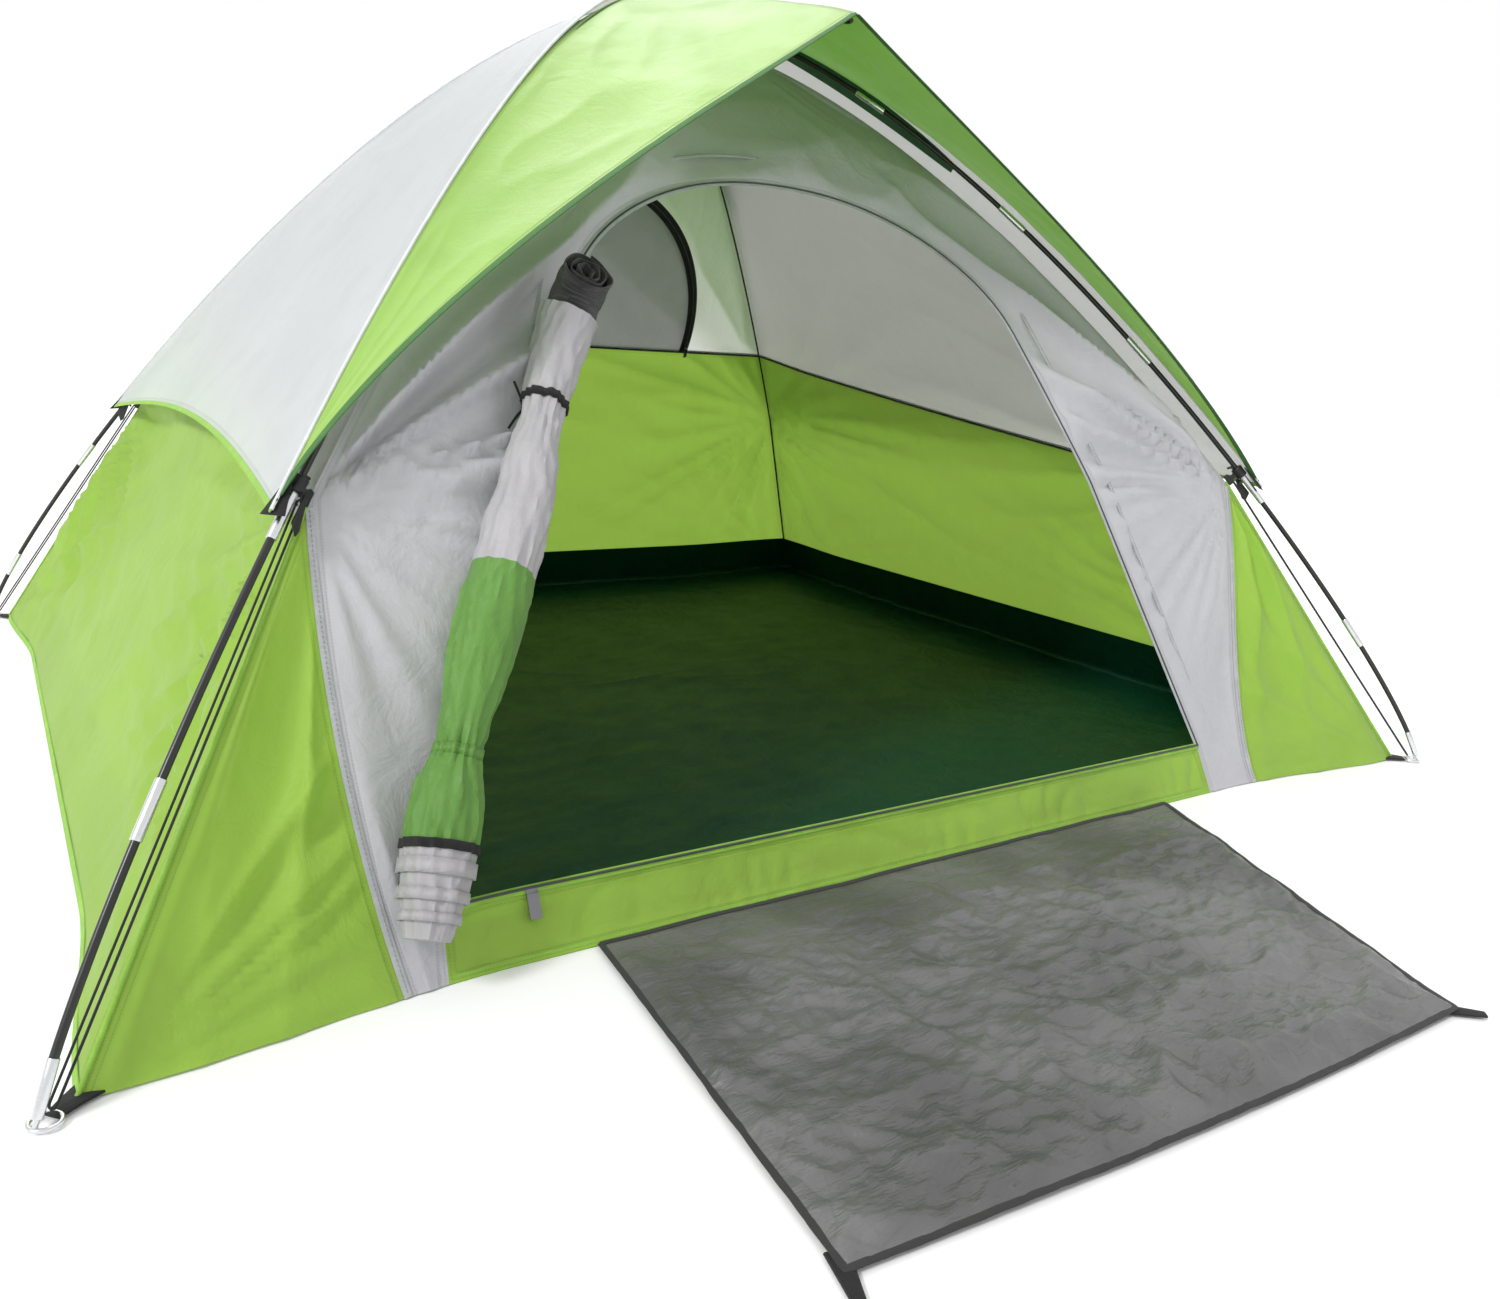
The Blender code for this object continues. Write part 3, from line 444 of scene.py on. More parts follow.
def round_bar(name, path, radii, mat, body, sides=16, hint=(0.2, 0.31, 0.93)):
    """A closed round bar along a path, its radius changing as radii says."""
    path = np.asarray(path, float)
    radii = np.broadcast_to(np.asarray(radii, float), (len(path),))
    _, aside, above = frames_along(path, hint)
    turn = np.linspace(0, 2 * math.pi, sides, endpoint=False)
    ring = np.cos(turn)[None, :, None] * aside[:, None] + np.sin(turn)[None, :, None] * above[:, None]
    points = path[:, None] + ring * radii[:, None, None]
    return lofted(name, points, mat, body)


def lofted(name, rings, mat, body):
    """A closed skin through rings of points, its ends filled."""
    count, sides = rings.shape[:2]
    verts = rings.reshape(-1, 3).tolist()
    quads = []
    for i in range(count - 1):
        for k in range(sides):
            n = (k + 1) % sides
            quads.append((i * sides + k, i * sides + n, (i + 1) * sides + n, (i + 1) * sides + k))
    ends = [tuple(range(sides))[::-1], tuple(range((count - 1) * sides, count * sides))]
    mesh = bpy.data.meshes.new(name)
    mesh.from_pydata(verts, [], quads + ends)
    layer = mesh.uv_layers.new(name="UVMap")
    centre = rings.mean(1)
    run = np.concatenate([[0], np.cumsum(np.linalg.norm(np.diff(centre, axis=0), axis=1))])
    girth = np.linalg.norm(np.diff(rings, axis=1), axis=-1).sum(1).mean() * sides / max(sides - 1, 1)
    for polygon in mesh.polygons:
        for loop in polygon.loop_indices:
            vertex = mesh.loops[loop].vertex_index
            layer.data[loop].uv = ((vertex % sides) / sides * girth, run[vertex // sides])
    turn_faces_out(mesh)
    piece = link(name, mesh, mat, body)
    mesh.set_sharp_from_angle(angle=math.radians(50))
    return piece


# A tape's cross-section: shares of its half width and of its thickness
TAPE_SECTION = (
    (-1, 0.1),
    (-0.92, 0.9),
    (-0.45, 1.15),
    (0.45, 1.15),
    (0.92, 0.9),
    (1, 0.1),
    (0.9, -0.1),
    (-0.9, -0.1),
)


def ribbon(name, path, normals, width, thickness, mat, body, lift=0.0):
    """A flat tape along a path, lying on a surface with these outward normals.

    width is one value for the whole tape or a list with one for each point.
    """
    path, normals = np.asarray(path, float), np.asarray(normals, float)
    along = unit(np.gradient(path, axis=0))
    aside = unit(np.cross(normals, along))
    normals = np.cross(along, aside)
    half = np.broadcast_to(np.asarray(width, float), (len(path),))[:, None] / 2
    section = []
    for side, high in TAPE_SECTION:
        section.append(path + aside * half * side + normals * (lift + thickness * high))
    return lofted(name, np.stack(section, 1), mat, body)


def row_of_stitches(name, path, normals, mat, body, step=0.0055, length=0.0036, radius=0.0005, lift=0.0008):
    """Short threads along a path, each a small closed bar."""
    path, normals = np.asarray(path, float), np.asarray(normals, float)
    run = np.concatenate([[0], np.cumsum(np.linalg.norm(np.diff(path, axis=0), axis=1))])
    starts = np.arange(step, run[-1] - step, step)
    shell = bmesh.new()
    for start in starts:
        ends = []
        for where, high in ((start, -0.3), (start + length / 2, 1.0), (start + length, -0.3)):
            point = np.array([np.interp(where, run, path[:, k]) for k in range(3)])
            normal = np.array([np.interp(where, run, normals[:, k]) for k in range(3)])
            normal /= np.linalg.norm(normal)
            ends.append((point + normal * (lift + radius * high), normal))
        along = ends[2][0] - ends[0][0]
        along /= np.linalg.norm(along)
        rings = []
        for (point, normal), thick in zip(ends, (0.6, 1.0, 0.6)):
            aside = np.cross(normal, along)
            corners = [aside, normal, -aside, -normal]
            rings.append([shell.verts.new(Vector(point + c * radius * thick)) for c in corners])
        for first, second in zip(rings, rings[1:]):
            for k in range(4):
                shell.faces.new((first[k - 1], first[k], second[k], second[k - 1]))
        shell.faces.new(rings[0])
        shell.faces.new(rings[-1])
    bmesh.ops.recalc_face_normals(shell, faces=shell.faces)
    mesh = bpy.data.meshes.new(name)
    shell.to_mesh(mesh)
    shell.free()
    return link(name, mesh, mat, body)


# ---------------------------------------------------------------- finishes


class Value:
    """A shader socket that Python's arithmetic works on."""

    def __init__(self, paint, socket):
        self.paint = paint
        self.socket = socket

    def maths(self, operation, a, b=0.0):
        return self.paint.node("ShaderNodeMath", {"operation": operation}, {0: a, 1: b})

    def __add__(self, other):
        return self.maths("ADD", self, other)

    __radd__ = __add__

    def __mul__(self, other):
        return self.maths("MULTIPLY", self, other)

    __rmul__ = __mul__

    def __sub__(self, other):
        return self.maths("SUBTRACT", self, other)

    def __rsub__(self, other):
        return self.maths("SUBTRACT", other, self)

    def __truediv__(self, other):
        return self.maths("DIVIDE", self, other)

    def __pow__(self, other):
        return self.maths("POWER", self, other)

    def sine(self):
        return self.maths("SINE", self)

    def size(self):
        return self.maths("ABSOLUTE", self)

    def under(self, other):
        return self.maths("LESS_THAN", self, other)

    def ramp(self, low, high):
        settings = {"interpolation_type": "SMOOTHSTEP"}
        values = {"Value": self, "From Min": low, "From Max": high}
        return self.paint.node("ShaderNodeMapRange", settings, values)


class Paint:
    """A material under construction."""

    def __init__(self, name, colour):
        self.material = bpy.data.materials.new(name)
        self.material.use_nodes = True
        self.material.diffuse_color = (*colour, 1)
        self.tree = self.material.node_tree
        self.shader = self.tree.nodes["Principled BSDF"]
        self.output = self.tree.nodes["Material Output"]

    def node(self, kind, settings=None, values=None, output=0):
        made = self.tree.nodes.new(kind)
        for key, value in (settings or {}).items():
            setattr(made, key, value)
        for key, value in (values or {}).items():
            self.feed(made.inputs[key], value)
        return Value(self, made.outputs[output])

    def feed(self, socket, value):
        if isinstance(value, Value):
            self.tree.links.new(value.socket, socket)
        elif socket.type == "RGBA" and len(value) == 3:
            socket.default_value = (*value, 1.0)
        else:
            socket.default_value = value

    def set(self, **values):
        for key, value in values.items():
            self.feed(self.shader.inputs[key.replace("_", " ")], value)

    def place(self, kind="Object"):
        return Value(self, self.tree.nodes.new("ShaderNodeTexCoord").outputs[kind])

    def attribute(self, name):
        return self.node("ShaderNodeAttribute", {"attribute_name": name}, output="Fac")

    def part(self, vector, axis):
        return self.node("ShaderNodeSeparateXYZ", None, {0: vector}, output=axis)

    def stretched(self, vector, scale, turn=(0.0, 0.0, 0.0)):
        return self.node("ShaderNodeMapping", None, {"Vector": vector, "Scale": scale, "Rotation": turn})

    def noise(self, vector, scale, detail=3.0, rough=0.55, warp=0.0):
        values = {"Vector": vector, "Scale": scale, "Detail": detail, "Roughness": rough, "Distortion": warp}
        return self.node("ShaderNodeTexNoise", None, values)

    def blend(self, share, a, b):
        return self.node("ShaderNodeMix", {"data_type": "RGBA"}, {0: share, 6: a, 7: b}, output=2)

    def bump(self, height, strength, distance, under=None):
        values = {"Height": height, "Strength": strength, "Distance": distance}
        if under is not None:
            values["Normal"] = under
        return self.node("ShaderNodeBump", None, values)


def srgb(r, g, b):
    """Linear colour from the usual 0 to 255 values."""
    return tuple(((c / 255 + 0.055) / 1.055) ** 2.4 if c > 10 else c / 255 / 12.92 for c in (r, g, b))


def shade(colour, by):
    return tuple(min(c * by, 1.0) for c in colour)


CLOTH_THREAD = 0.00055
HEM_FOLD = 0.0105
HEM_STITCHES = (0.0035, 0.0095)
STITCH_HALF = 0.0006
STITCH_STEP = 0.0045


def polyester(
    name, colour, glow=None, roughness=0.55, clear=0.25, crumple=0.5, deep=0.80, sheen=0.18, hems=True
):
    """Thin coated plain-weave cloth that lets some light through, with creases and sewn edges."""
    paint = Paint(name, colour)
    flat = paint.place("UV")
    solid = paint.place("Object")
    broad = paint.noise(solid, 2.2, 2.0)
    worn = paint.noise(solid, 9.0, 4.0, 0.6)
    across = paint.part(flat, "X") * (2 * math.pi / CLOTH_THREAD)
    along = paint.part(flat, "Y") * (2 * math.pi / CLOTH_THREAD)
    weave = across.sine() * along.sine()
    tint = paint.blend(broad.ramp(0.35, 0.7), shade(colour, 0.94), shade(colour, 1.04))
    tint = paint.blend(worn.ramp(0.48, 0.72) * 0.35, tint, shade(colour, deep))
    fine = paint.noise(paint.stretched(solid, (30.0, 30.0, 12.0)), 1.0, 3.0, 0.6, 0.6)
    crease = paint.noise(solid, 16.0, 5.0, 0.62, 0.9)
    normal = paint.bump(crease, 0.30 * crumple, 0.012)
    normal = paint.bump(fine, 0.35 * crumple, 0.004, normal)
    normal = paint.bump(weave, 0.12, 0.0002, normal)
    if hems:
        hem = paint.attribute("hem")
        fold = hem.ramp(HEM_FOLD, HEM_FOLD + 0.002)
        near, far = ((hem - row).size().under(STITCH_HALF) for row in HEM_STITCHES)
        askew = paint.part(flat, "X") + paint.part(flat, "Y")
        dash = (askew * (2 * math.pi / STITCH_STEP)).sine().ramp(-0.5, 0.0)
        thread_mask = (near + far) * dash
        tint = paint.blend(thread_mask * 0.55, tint, shade(colour, 0.45))
        # Painted shade: the band along the folded hem is darkened.
        tint = paint.blend((1 - fold) * 0.22, tint, shade(colour, 0.72))
        normal = paint.bump(fold + thread_mask * -0.6, 0.5, 0.0012, normal)
    paint.set(Base_Color=tint, Roughness=worn.ramp(0.2, 0.9) * 0.16 + (roughness - 0.08), Normal=normal)
    paint.set(Sheen_Weight=sheen, Sheen_Roughness=0.45, Specular_IOR_Level=0.35)
    if clear:
        back = paint.node("ShaderNodeBsdfTranslucent", None, {"Color": glow or colour, "Normal": normal})
        front = Value(paint, paint.shader.outputs[0])
        both = paint.node("ShaderNodeMixShader", None, {0: clear, 1: front, 2: back})
        paint.feed(paint.output.inputs["Surface"], both)
    return paint.material


TARP_WEAVE = 5200.0
NET_WEAVE = 4200.0


def tarpaulin(name, colour):
    """Crinkled woven tarpaulin, dull with shiny crease tops."""
    paint = Paint(name, colour)
    solid = paint.place("Object")
    drift = paint.stretched(paint.noise(solid, 5.0, 2.0), (0.08, 0.08, 0.08))
    moved = paint.node("ShaderNodeVectorMath", {"operation": "ADD"}, {0: solid, 1: drift})
    cells = {"Vector": moved, "Scale": 15.0}
    crumple = paint.node("ShaderNodeTexVoronoi", {"feature": "DISTANCE_TO_EDGE"}, cells)
    fine = paint.noise(solid, 60.0, 4.0, 0.65, 0.3)
    broad = paint.noise(solid, 3.0, 3.0)
    streak = paint.noise(paint.stretched(solid, (6.0, 22.0, 6.0), (0.0, 0.0, 0.6)), 1.0, 5.0, 0.7, 0.1)
    weave = (paint.part(solid, "X") * TARP_WEAVE).sine() * (paint.part(solid, "Y") * TARP_WEAVE).sine()
    # Painted reflection: broad lighter and darker patches, laid at random, stand in for the tarpaulin's broad
    # shine.
    tint = paint.blend(broad.ramp(0.35, 0.65), shade(colour, 0.72), shade(colour, 1.30))
    # Painted highlight: the streaks, which also raise the bumps and make the cloth shinier, are painted
    # lighter.
    tint = paint.blend(streak.ramp(0.55, 0.75) * 0.35, tint, shade(colour, 1.45))
    # Painted shade: darker along the crease lines between the crinkles.
    tint = paint.blend((1 - crumple.ramp(0.0, 0.05)) * 0.25, tint, shade(colour, 0.7))
    normal = paint.bump(crumple, 0.6, 0.012)
    normal = paint.bump(streak, 0.6, 0.012, normal)
    normal = paint.bump(fine, 0.40, 0.003, normal)
    normal = paint.bump(weave, 0.10, 0.0002, normal)
    dull = streak.ramp(0.3, 0.8) * -0.16 + 0.42
    paint.set(Base_Color=tint, Roughness=dull, Normal=normal, Specular_IOR_Level=0.7)
    return paint.material


def webbing_cloth(name, colour, rib=0.0016, roughness=0.8):
    """Narrow woven tape with ribs across it."""
    paint = Paint(name, colour)
    flat = paint.place("UV")
    ribs = (paint.part(flat, "Y") * (2 * math.pi / rib)).sine()
    threads = (paint.part(flat, "X") * (2 * math.pi / (rib * 0.6))).sine()
    dust = paint.noise(paint.place("Object"), 40.0, 4.0)
    tint = paint.blend(dust.ramp(0.4, 0.8), colour, shade(colour, 1.25))
    tint = paint.blend((ribs * threads).ramp(0.0, 1.0) * 0.5, tint, shade(colour, 0.6))
    normal = paint.bump(ribs + threads * 0.5, 0.5, 0.0004)
    paint.set(Base_Color=tint, Roughness=dust * 0.15 + (roughness - 0.07), Normal=normal, Sheen_Weight=0.06)
    return paint.material


def braided(name, colour):
    """Round elastic cord in a braided cover."""
    paint = Paint(name, colour)
    solid = paint.place("Object")
    up = paint.part(solid, "Z") * 4200.0
    aside = (paint.part(solid, "X") + paint.part(solid, "Y")) * 3000.0
    braid = (up + aside).sine() * (up - aside).sine()
    tint = paint.blend(braid.ramp(-0.5, 0.8), shade(colour, 0.6), shade(colour, 1.6))
    paint.set(Base_Color=tint, Roughness=0.75, Normal=paint.bump(braid, 0.5, 0.0003), Sheen_Weight=0.2)
    return paint.material


def pole_fibre(name, colour):
    """Satin black fibreglass with fine lengthwise scuffs."""
    paint = Paint(name, colour)
    solid = paint.place("Object")
    scuff = paint.noise(paint.stretched(solid, (900.0, 900.0, 25.0)), 1.0, 3.0)
    dust = paint.noise(solid, 18.0, 4.0)
    tint = paint.blend(scuff.ramp(0.55, 0.8) * 0.5, colour, shade(colour, 1.8))
    tint = paint.blend(dust.ramp(0.5, 0.9) * 0.12, tint, srgb(70, 68, 66))
    paint.set(Base_Color=tint, Roughness=scuff * 0.2 + 0.24, Coat_Weight=0.25, Coat_Roughness=0.2)
    paint.set(Normal=paint.bump(scuff, 0.15, 0.0003))
    return paint.material


def metal(name, colour, roughness=0.25):
    """Bright drawn steel, brushed along its length and dull where hands rub it."""
    paint = Paint(name, colour)
    solid = paint.place("Object")
    brushed = paint.noise(paint.stretched(solid, (700.0, 700.0, 60.0)), 1.0, 4.0)
    stain = paint.noise(solid, 55.0, 4.0, 0.6)
    tint = paint.blend(stain.ramp(0.55, 0.8) * 0.4, colour, shade(colour, 0.55))
    dull = brushed * 0.18 + stain.ramp(0.4, 0.8) * 0.12 + (roughness - 0.1)
    paint.set(Base_Color=tint, Metallic=1.0, Roughness=dull)
    paint.set(Normal=paint.bump(brushed, 0.12, 0.0002))
    return paint.material


def moulded(name, colour, roughness=0.42):
    """Moulded plastic with a faint grain and worn, paler edges."""
    paint = Paint(name, colour)
    solid = paint.place("Object")
    grain = paint.noise(solid, 2600.0, 2.0)
    worn = paint.noise(solid, 90.0, 4.0, 0.65)
    tint = paint.blend(worn.ramp(0.55, 0.8) * 0.5, colour, shade(colour, 2.2))
    normal = paint.bump(grain, 0.25, 0.0002)
    paint.set(Base_Color=tint, Roughness=worn * 0.2 + (roughness - 0.1), Normal=normal)
    return paint.material


def mesh_net(name, colour):
    """Fine black netting, rolled so that it shows little light."""
    paint = Paint(name, colour)
    flat = paint.place("UV")
    u, v = paint.part(flat, "X"), paint.part(flat, "Y")
    holes = (u * NET_WEAVE).sine() * (v * NET_WEAVE).sine()
    folds = paint.noise(paint.stretched(paint.place("Object"), (40.0, 40.0, 9.0)), 1.0, 4.0, 0.6, 0.8)
    tint = paint.blend(holes.ramp(0.0, 0.7), colour, shade(colour, 2.6))
    # Painted highlight: the raised folds of the black net are painted a lighter grey.
    tint = paint.blend(folds.ramp(0.55, 0.75) * 0.6, tint, srgb(70, 70, 72))
    normal = paint.bump(folds + holes * 0.2, 0.7, 0.004)
    paint.set(Base_Color=tint, Roughness=0.7, Normal=normal, Sheen_Weight=0.3)
    return paint.material


FLY_GREY = srgb(214, 218, 222)
FLY_GLOW = srgb(245, 243, 240)
WALL_GLOW = srgb(245, 244, 242)
LIME = srgb(170, 212, 84)
LIME_GLOW = srgb(176, 216, 90)
FLY_LIME = srgb(160, 200, 100)
FLY_LIME_GLOW = srgb(128, 206, 56)
DARK_GREEN = srgb(0, 54, 34)
BLACK = srgb(16, 16, 17)

# The front wall's grey leans to blue-violet: painted light, cancelling the green light that the awning throws
# onto it.
front_grey = polyester("front_wall_grey", srgb(199, 198, 204), clear=0.22, crumple=1.0)
wall_grey = polyester("upper_wall_grey", srgb(206, 207, 207), glow=WALL_GLOW, clear=0.62, crumple=0.8)
flap_grey = polyester("window_flap_grey", srgb(186, 187, 188), clear=0.20, crumple=0.9)
wall_lime = polyester("lower_wall_lime", LIME, glow=LIME_GLOW, clear=0.38, crumple=0.9)
fly_grey = polyester("rainfly_grey", FLY_GREY, glow=FLY_GLOW, clear=0.36, roughness=0.42)
fly_lime = polyester("rainfly_lime", FLY_LIME, glow=FLY_LIME_GLOW, clear=0.20, roughness=0.45)
tub_green = polyester("tub_dark_green", DARK_GREEN, clear=0, crumple=0.8, roughness=0.5, deep=0.7, sheen=0.0)
tarp_grey = tarpaulin("mat_tarpaulin", srgb(96, 96, 96))
# The rolled door's grey and lime are darker copies of the walls' cloth: painted shade among the rolled
# layers.
roll_grey = polyester("rolled_door_grey", srgb(176, 174, 177), clear=0.10, crumple=1.2, hems=False)
roll_lime = polyester("rolled_door_lime", srgb(98, 146, 64), clear=0.12, crumple=1.2, hems=False)
black_net = mesh_net("rolled_door_net", BLACK)
black_tape = webbing_cloth("black_tape", BLACK)
grey_tape = webbing_cloth("grey_binding", srgb(176, 178, 180), roughness=0.7)
lime_tape = webbing_cloth("lime_binding", srgb(138, 186, 66), roughness=0.7)
white_piping = webbing_cloth("white_piping", srgb(226, 228, 230), roughness=0.6)
mat_binding = webbing_cloth("mat_binding", srgb(44, 44, 44), roughness=0.75)
seam_cord = webbing_cloth("seam_binding", srgb(34, 40, 34), roughness=0.8)
green_hem = webbing_cloth("awning_binding", srgb(58, 110, 44), roughness=0.7)
# Painted shade: the dark green of the strips inside the fly near the top, standing in for the fly's shadowed
# underside.
band_green = webbing_cloth("painted_shade_green", srgb(14, 96, 40), rib=0.0006, roughness=0.6)
elastic = braided("elastic_cord", BLACK)
fibre = pole_fibre("pole_fibreglass", BLACK)
bright_steel = metal("bright_steel", (0.72, 0.73, 0.75))
zip_steel = metal("zip_metal", (0.22, 0.22, 0.23), 0.35)
plastic = moulded("black_plastic", BLACK)
thread_grey = webbing_cloth("grey_thread", srgb(150, 152, 154), rib=0.0005)
zip_teeth = moulded("zip_coil", srgb(60, 62, 64), 0.5)


# ---------------------------------------------------------------- the inner tent


def wall_patch(side, low_edge, high_edge, columns, rows, spread_t=None):
    """Points and flat coordinates of the patch between two edges, each giving (across, length)."""
    t = np.linspace(0, 1, columns + 1)[:, None] if spread_t is None else spread_t[:, None]
    w = np.linspace(0, 1, rows + 1)[None, :]
    low, high = low_edge(t), high_edge(t)
    across = mix(low[0], high[0], w)
    length = mix(low[1], high[1], w)
    return wall_point(side, across, length), (across * half_width(side, length), length)


def seam_height(side, across):
    share = {"front": 0.0, "back": 1.0, "right": (across + 1) / 2, "left": (1 - across) / 2}[side]
    return mix(SEAM_FRONT, SEAM_BACK, share)


def seam_line(side, across):
    return length_at_height(seam_height(side, across) + 0 * across)


# Half widths of a wall at its clips and at its feet, where the folds start
CLIP_ACROSS = 0.80
FOOT_ACROSS = 1.05


def wall_folds(seed, strong=1.0, corners=(-1.0, 1.0)):
    """Folds of a wall that hangs from its two clips and is pegged at its two feet."""

    def folds(a, b):
        total = 0.0035 * noise(a * 2.2, b * 3.1, seed)
        waver = noise(a * 3, b * 3, seed) * 1.2
        total = total + 0.0022 * (ridges(a * 9.0 + waver, b * 1.6, seed + 3, 3.0) - 0.4)
        for k, corner in enumerate(corners):
            clip, foot = (corner * CLIP_ACROSS, CLIP_AT), (corner * FOOT_ACROSS, 0.0)
            inward = math.pi - 0.5 if corner > 0 else 0.5
            total = total + pull_lines(a, b, clip, 0.9, 4.4, 0.026, seed + k + 1)
            total = total + pull_lines(a, b, foot, 0.9, 5.5, 0.026, seed + k + 5, inward, 0.9)
        return strong * total * (0.35 + 0.65 * smooth((b - 0.05) / 0.25))

    return folds


def make_plain_wall(side, seed):
    """A wall without a door: lime cloth below the seam, and grey above it."""
    low = lambda t: (2 * t - 1, 0 * t)
    middle = lambda t: (2 * t - 1, seam_line(side, 2 * t - 1))
    high = lambda t: (2 * t - 1, 0 * t + WALL_TOP)
    points, spread = wall_patch(side, low, middle, 150, 50)
    lower = cloth_panel(f"{side}_lower_cloth", points, spread, wall_lime, "tent", wall_folds(seed))
    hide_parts(f"{side}_wall_lower")
    if side == "back":
        return
    points, spread = wall_patch(side, middle, high, 130, 90)
    upper = cloth_panel(f"{side}_upper_cloth", points, spread, wall_grey, "tent", wall_folds(seed + 11, 0.7))
    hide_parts(f"{side}_wall_upper")


def across_at(side, x, length):
    return x / half_width(side, length)


def door_side(sign, height):
    """How far across the door's left or right edge is at a height, before the arch."""
    above = height - SILL_HEIGHT
    half = np.where(np.asarray(sign) < 0, DOOR_HALF[-1], DOOR_HALF[1])
    return DOOR_AXIS + DOOR_LEAN * above + sign * (half - DOOR_TAPER * above)


CLIP_SHARE = 0.40
SILL_SHARE = 0.10
SPRING_SHARE = 0.55
CLIP_HEIGHT = float(body_edge(CLIP_AT)[1])


def door_edge_xz(t):
    """The door opening's edge as x and height: left foot, over the arch, right foot."""
    sign = np.where(t < 0.5, -1.0, 1.0)
    share = 2 * np.minimum(t, 1 - t)
    foot = np.where(sign > 0, SILL_FOOT[1], SILL_FOOT[-1])
    rise = np.clip(share / SILL_SHARE, 0, 1)
    low_height = mix(GROUND, SILL_HEIGHT, rise)
    low_x = mix(foot, door_side(sign, SILL_HEIGHT), rise)
    shares, heights = (SILL_SHARE, CLIP_SHARE, SPRING_SHARE), (SILL_HEIGHT, CLIP_HEIGHT, DOOR_SPRING)
    side_height = np.interp(share, shares, heights)
    side_x = door_side(sign, side_height)
    angle = math.pi / 2 * np.clip((share - SPRING_SHARE) / (1 - SPRING_SHARE), 0, 1)
    arch_height = mix(DOOR_SPRING, DOOR_TOP, np.sin(angle) ** (2 / DOOR_ARCH))
    middle = (door_side(-1, arch_height) + door_side(1, arch_height)) / 2
    arch_x = mix(middle, door_side(sign, arch_height), np.clip(np.cos(angle), 0, 1) ** (2 / DOOR_ARCH))
    upper_height = np.where(share < SPRING_SHARE, side_height, arch_height)
    upper_x = np.where(share < SPRING_SHARE, side_x, arch_x)
    low = share < SILL_SHARE
    return np.where(low, low_x, upper_x), np.where(low, low_height, upper_height)


def door_edge(t):
    x, height = door_edge_xz(t)
    length = length_at_height(height)
    return across_at("front", x, length), length


def pillar_seam(sign, share):
    """How far across the seam between a pillar and its gusset is, from the foot up to the clip."""
    start = abs(PILLAR_FOOT[sign]) / float(half_width("front", 0.0))
    return sign * mix(start, 1.0, share ** PILLAR_CURVE[sign])


def front_outline(t):
    """The outer edge of the front's grey cloth: up a pillar, and over the top along the corners."""
    sign = np.where(t < 0.5, -1.0, 1.0)
    share = 2 * np.minimum(t, 1 - t)
    rise = np.clip(share / CLIP_SHARE, 0, 1)
    low = np.where(sign > 0, pillar_seam(1, rise), pillar_seam(-1, rise))
    up = np.clip((share - CLIP_SHARE) / (1 - CLIP_SHARE), 0, 1)
    across = np.where(share < CLIP_SHARE, low, np.where(share > 0.9999, 0.0, sign))
    length = np.where(share < CLIP_SHARE, CLIP_AT * rise, mix(CLIP_AT, WALL_TOP, up))
    return across, length


def front_folds(a, b):
    """Folds that run from the clips and the top down into the door's edge and the pillars."""
    total = 0.0030 * noise(a * 3.0, b * 2.4, 41)
    total = total + 0.0035 * (ridges(a * 7.0 + b * 2.5, b * 1.1, 42, 3.0) - 0.4)
    left, right, top = (-CLIP_ACROSS, CLIP_AT), (CLIP_ACROSS, CLIP_AT), (0.0, WALL_TOP)
    total = total + pull_lines(a, b, left, 1.1, 4.6, 0.066, 43, 0.75, 0.8)
    total = total + pull_lines(a, b, right, 1.1, 4.6, 0.054, 44, math.pi - 0.75, 0.8)
    total = total + pull_lines(a, b, left, 0.75, 5.0, 0.015, 45, -1.2, 0.7)
    total = total + pull_lines(a, b, right, 0.75, 5.0, 0.015, 46, math.pi + 1.2, 0.7)
    return total + pull_lines(a, b, top, 0.9, 6.0, 0.006, 47)


def surface_line(side, across, length, nudge=0.004):
    """Points on a wall and the wall's outward normals there."""
    points = wall_point(side, across, length)
    wide = nudge / half_width(side, length)
    higher, lower = np.clip(length + nudge, 0, LOWER.length), np.clip(length - nudge, 0, LOWER.length)
    du = wall_point(side, across + wide, length) - wall_point(side, across - wide, length)
    ds = wall_point(side, across, higher) - wall_point(side, across, lower)
    normals = unit(np.cross(du, ds))
    if faces_in(normals, points):
        normals = -normals
    return points, normals


def make_front():
    """The front wall round the door, and the lime gussets between its pillars and the corners."""
    foot_steps, end_steps = np.linspace(0, 0.05, 12)[:-1], np.linspace(0.95, 1, 12)[1:]
    t = np.concatenate([foot_steps, np.linspace(0.05, 0.95, 300), end_steps])
    points, spread = wall_patch("front", door_edge, front_outline, len(t) - 1, 44, t)
    wall = cloth_panel("front_cloth", points, spread, front_grey, "tent", front_folds, (0, 0, 1, 1), 0.03)
    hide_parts("front_wall")
    for word, sign in (("left", -1), ("right", 1)):
        seam = lambda t, sign=sign: (pillar_seam(sign, t), CLIP_AT * t)
        edge = lambda t, sign=sign: (0 * t + sign, CLIP_AT * t)
        points, spread = wall_patch("front", seam, edge, 80, 36)
        folds = wall_folds(60 + sign, 1.0, (sign,))
        name = f"front_{word}_gusset"
        gusset = cloth_panel(name, points, spread, wall_lime, "tent", folds, (0, 0, 1, 1), 0.03)
        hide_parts(f"front_gusset_{word}")
        u, s = seam(np.linspace(0, 0.985, 90))
        path, normals = surface_line("front", u, s)
        ribbon(f"pillar_seam_{word}", path, normals, 0.009, 0.0012, grey_tape, "tent", 0.0004)
        row_of_stitches(f"pillar_stitch_{word}", path, normals, thread_grey, "tent", lift=0.0022)
    make_sill()
    make_door_trim()


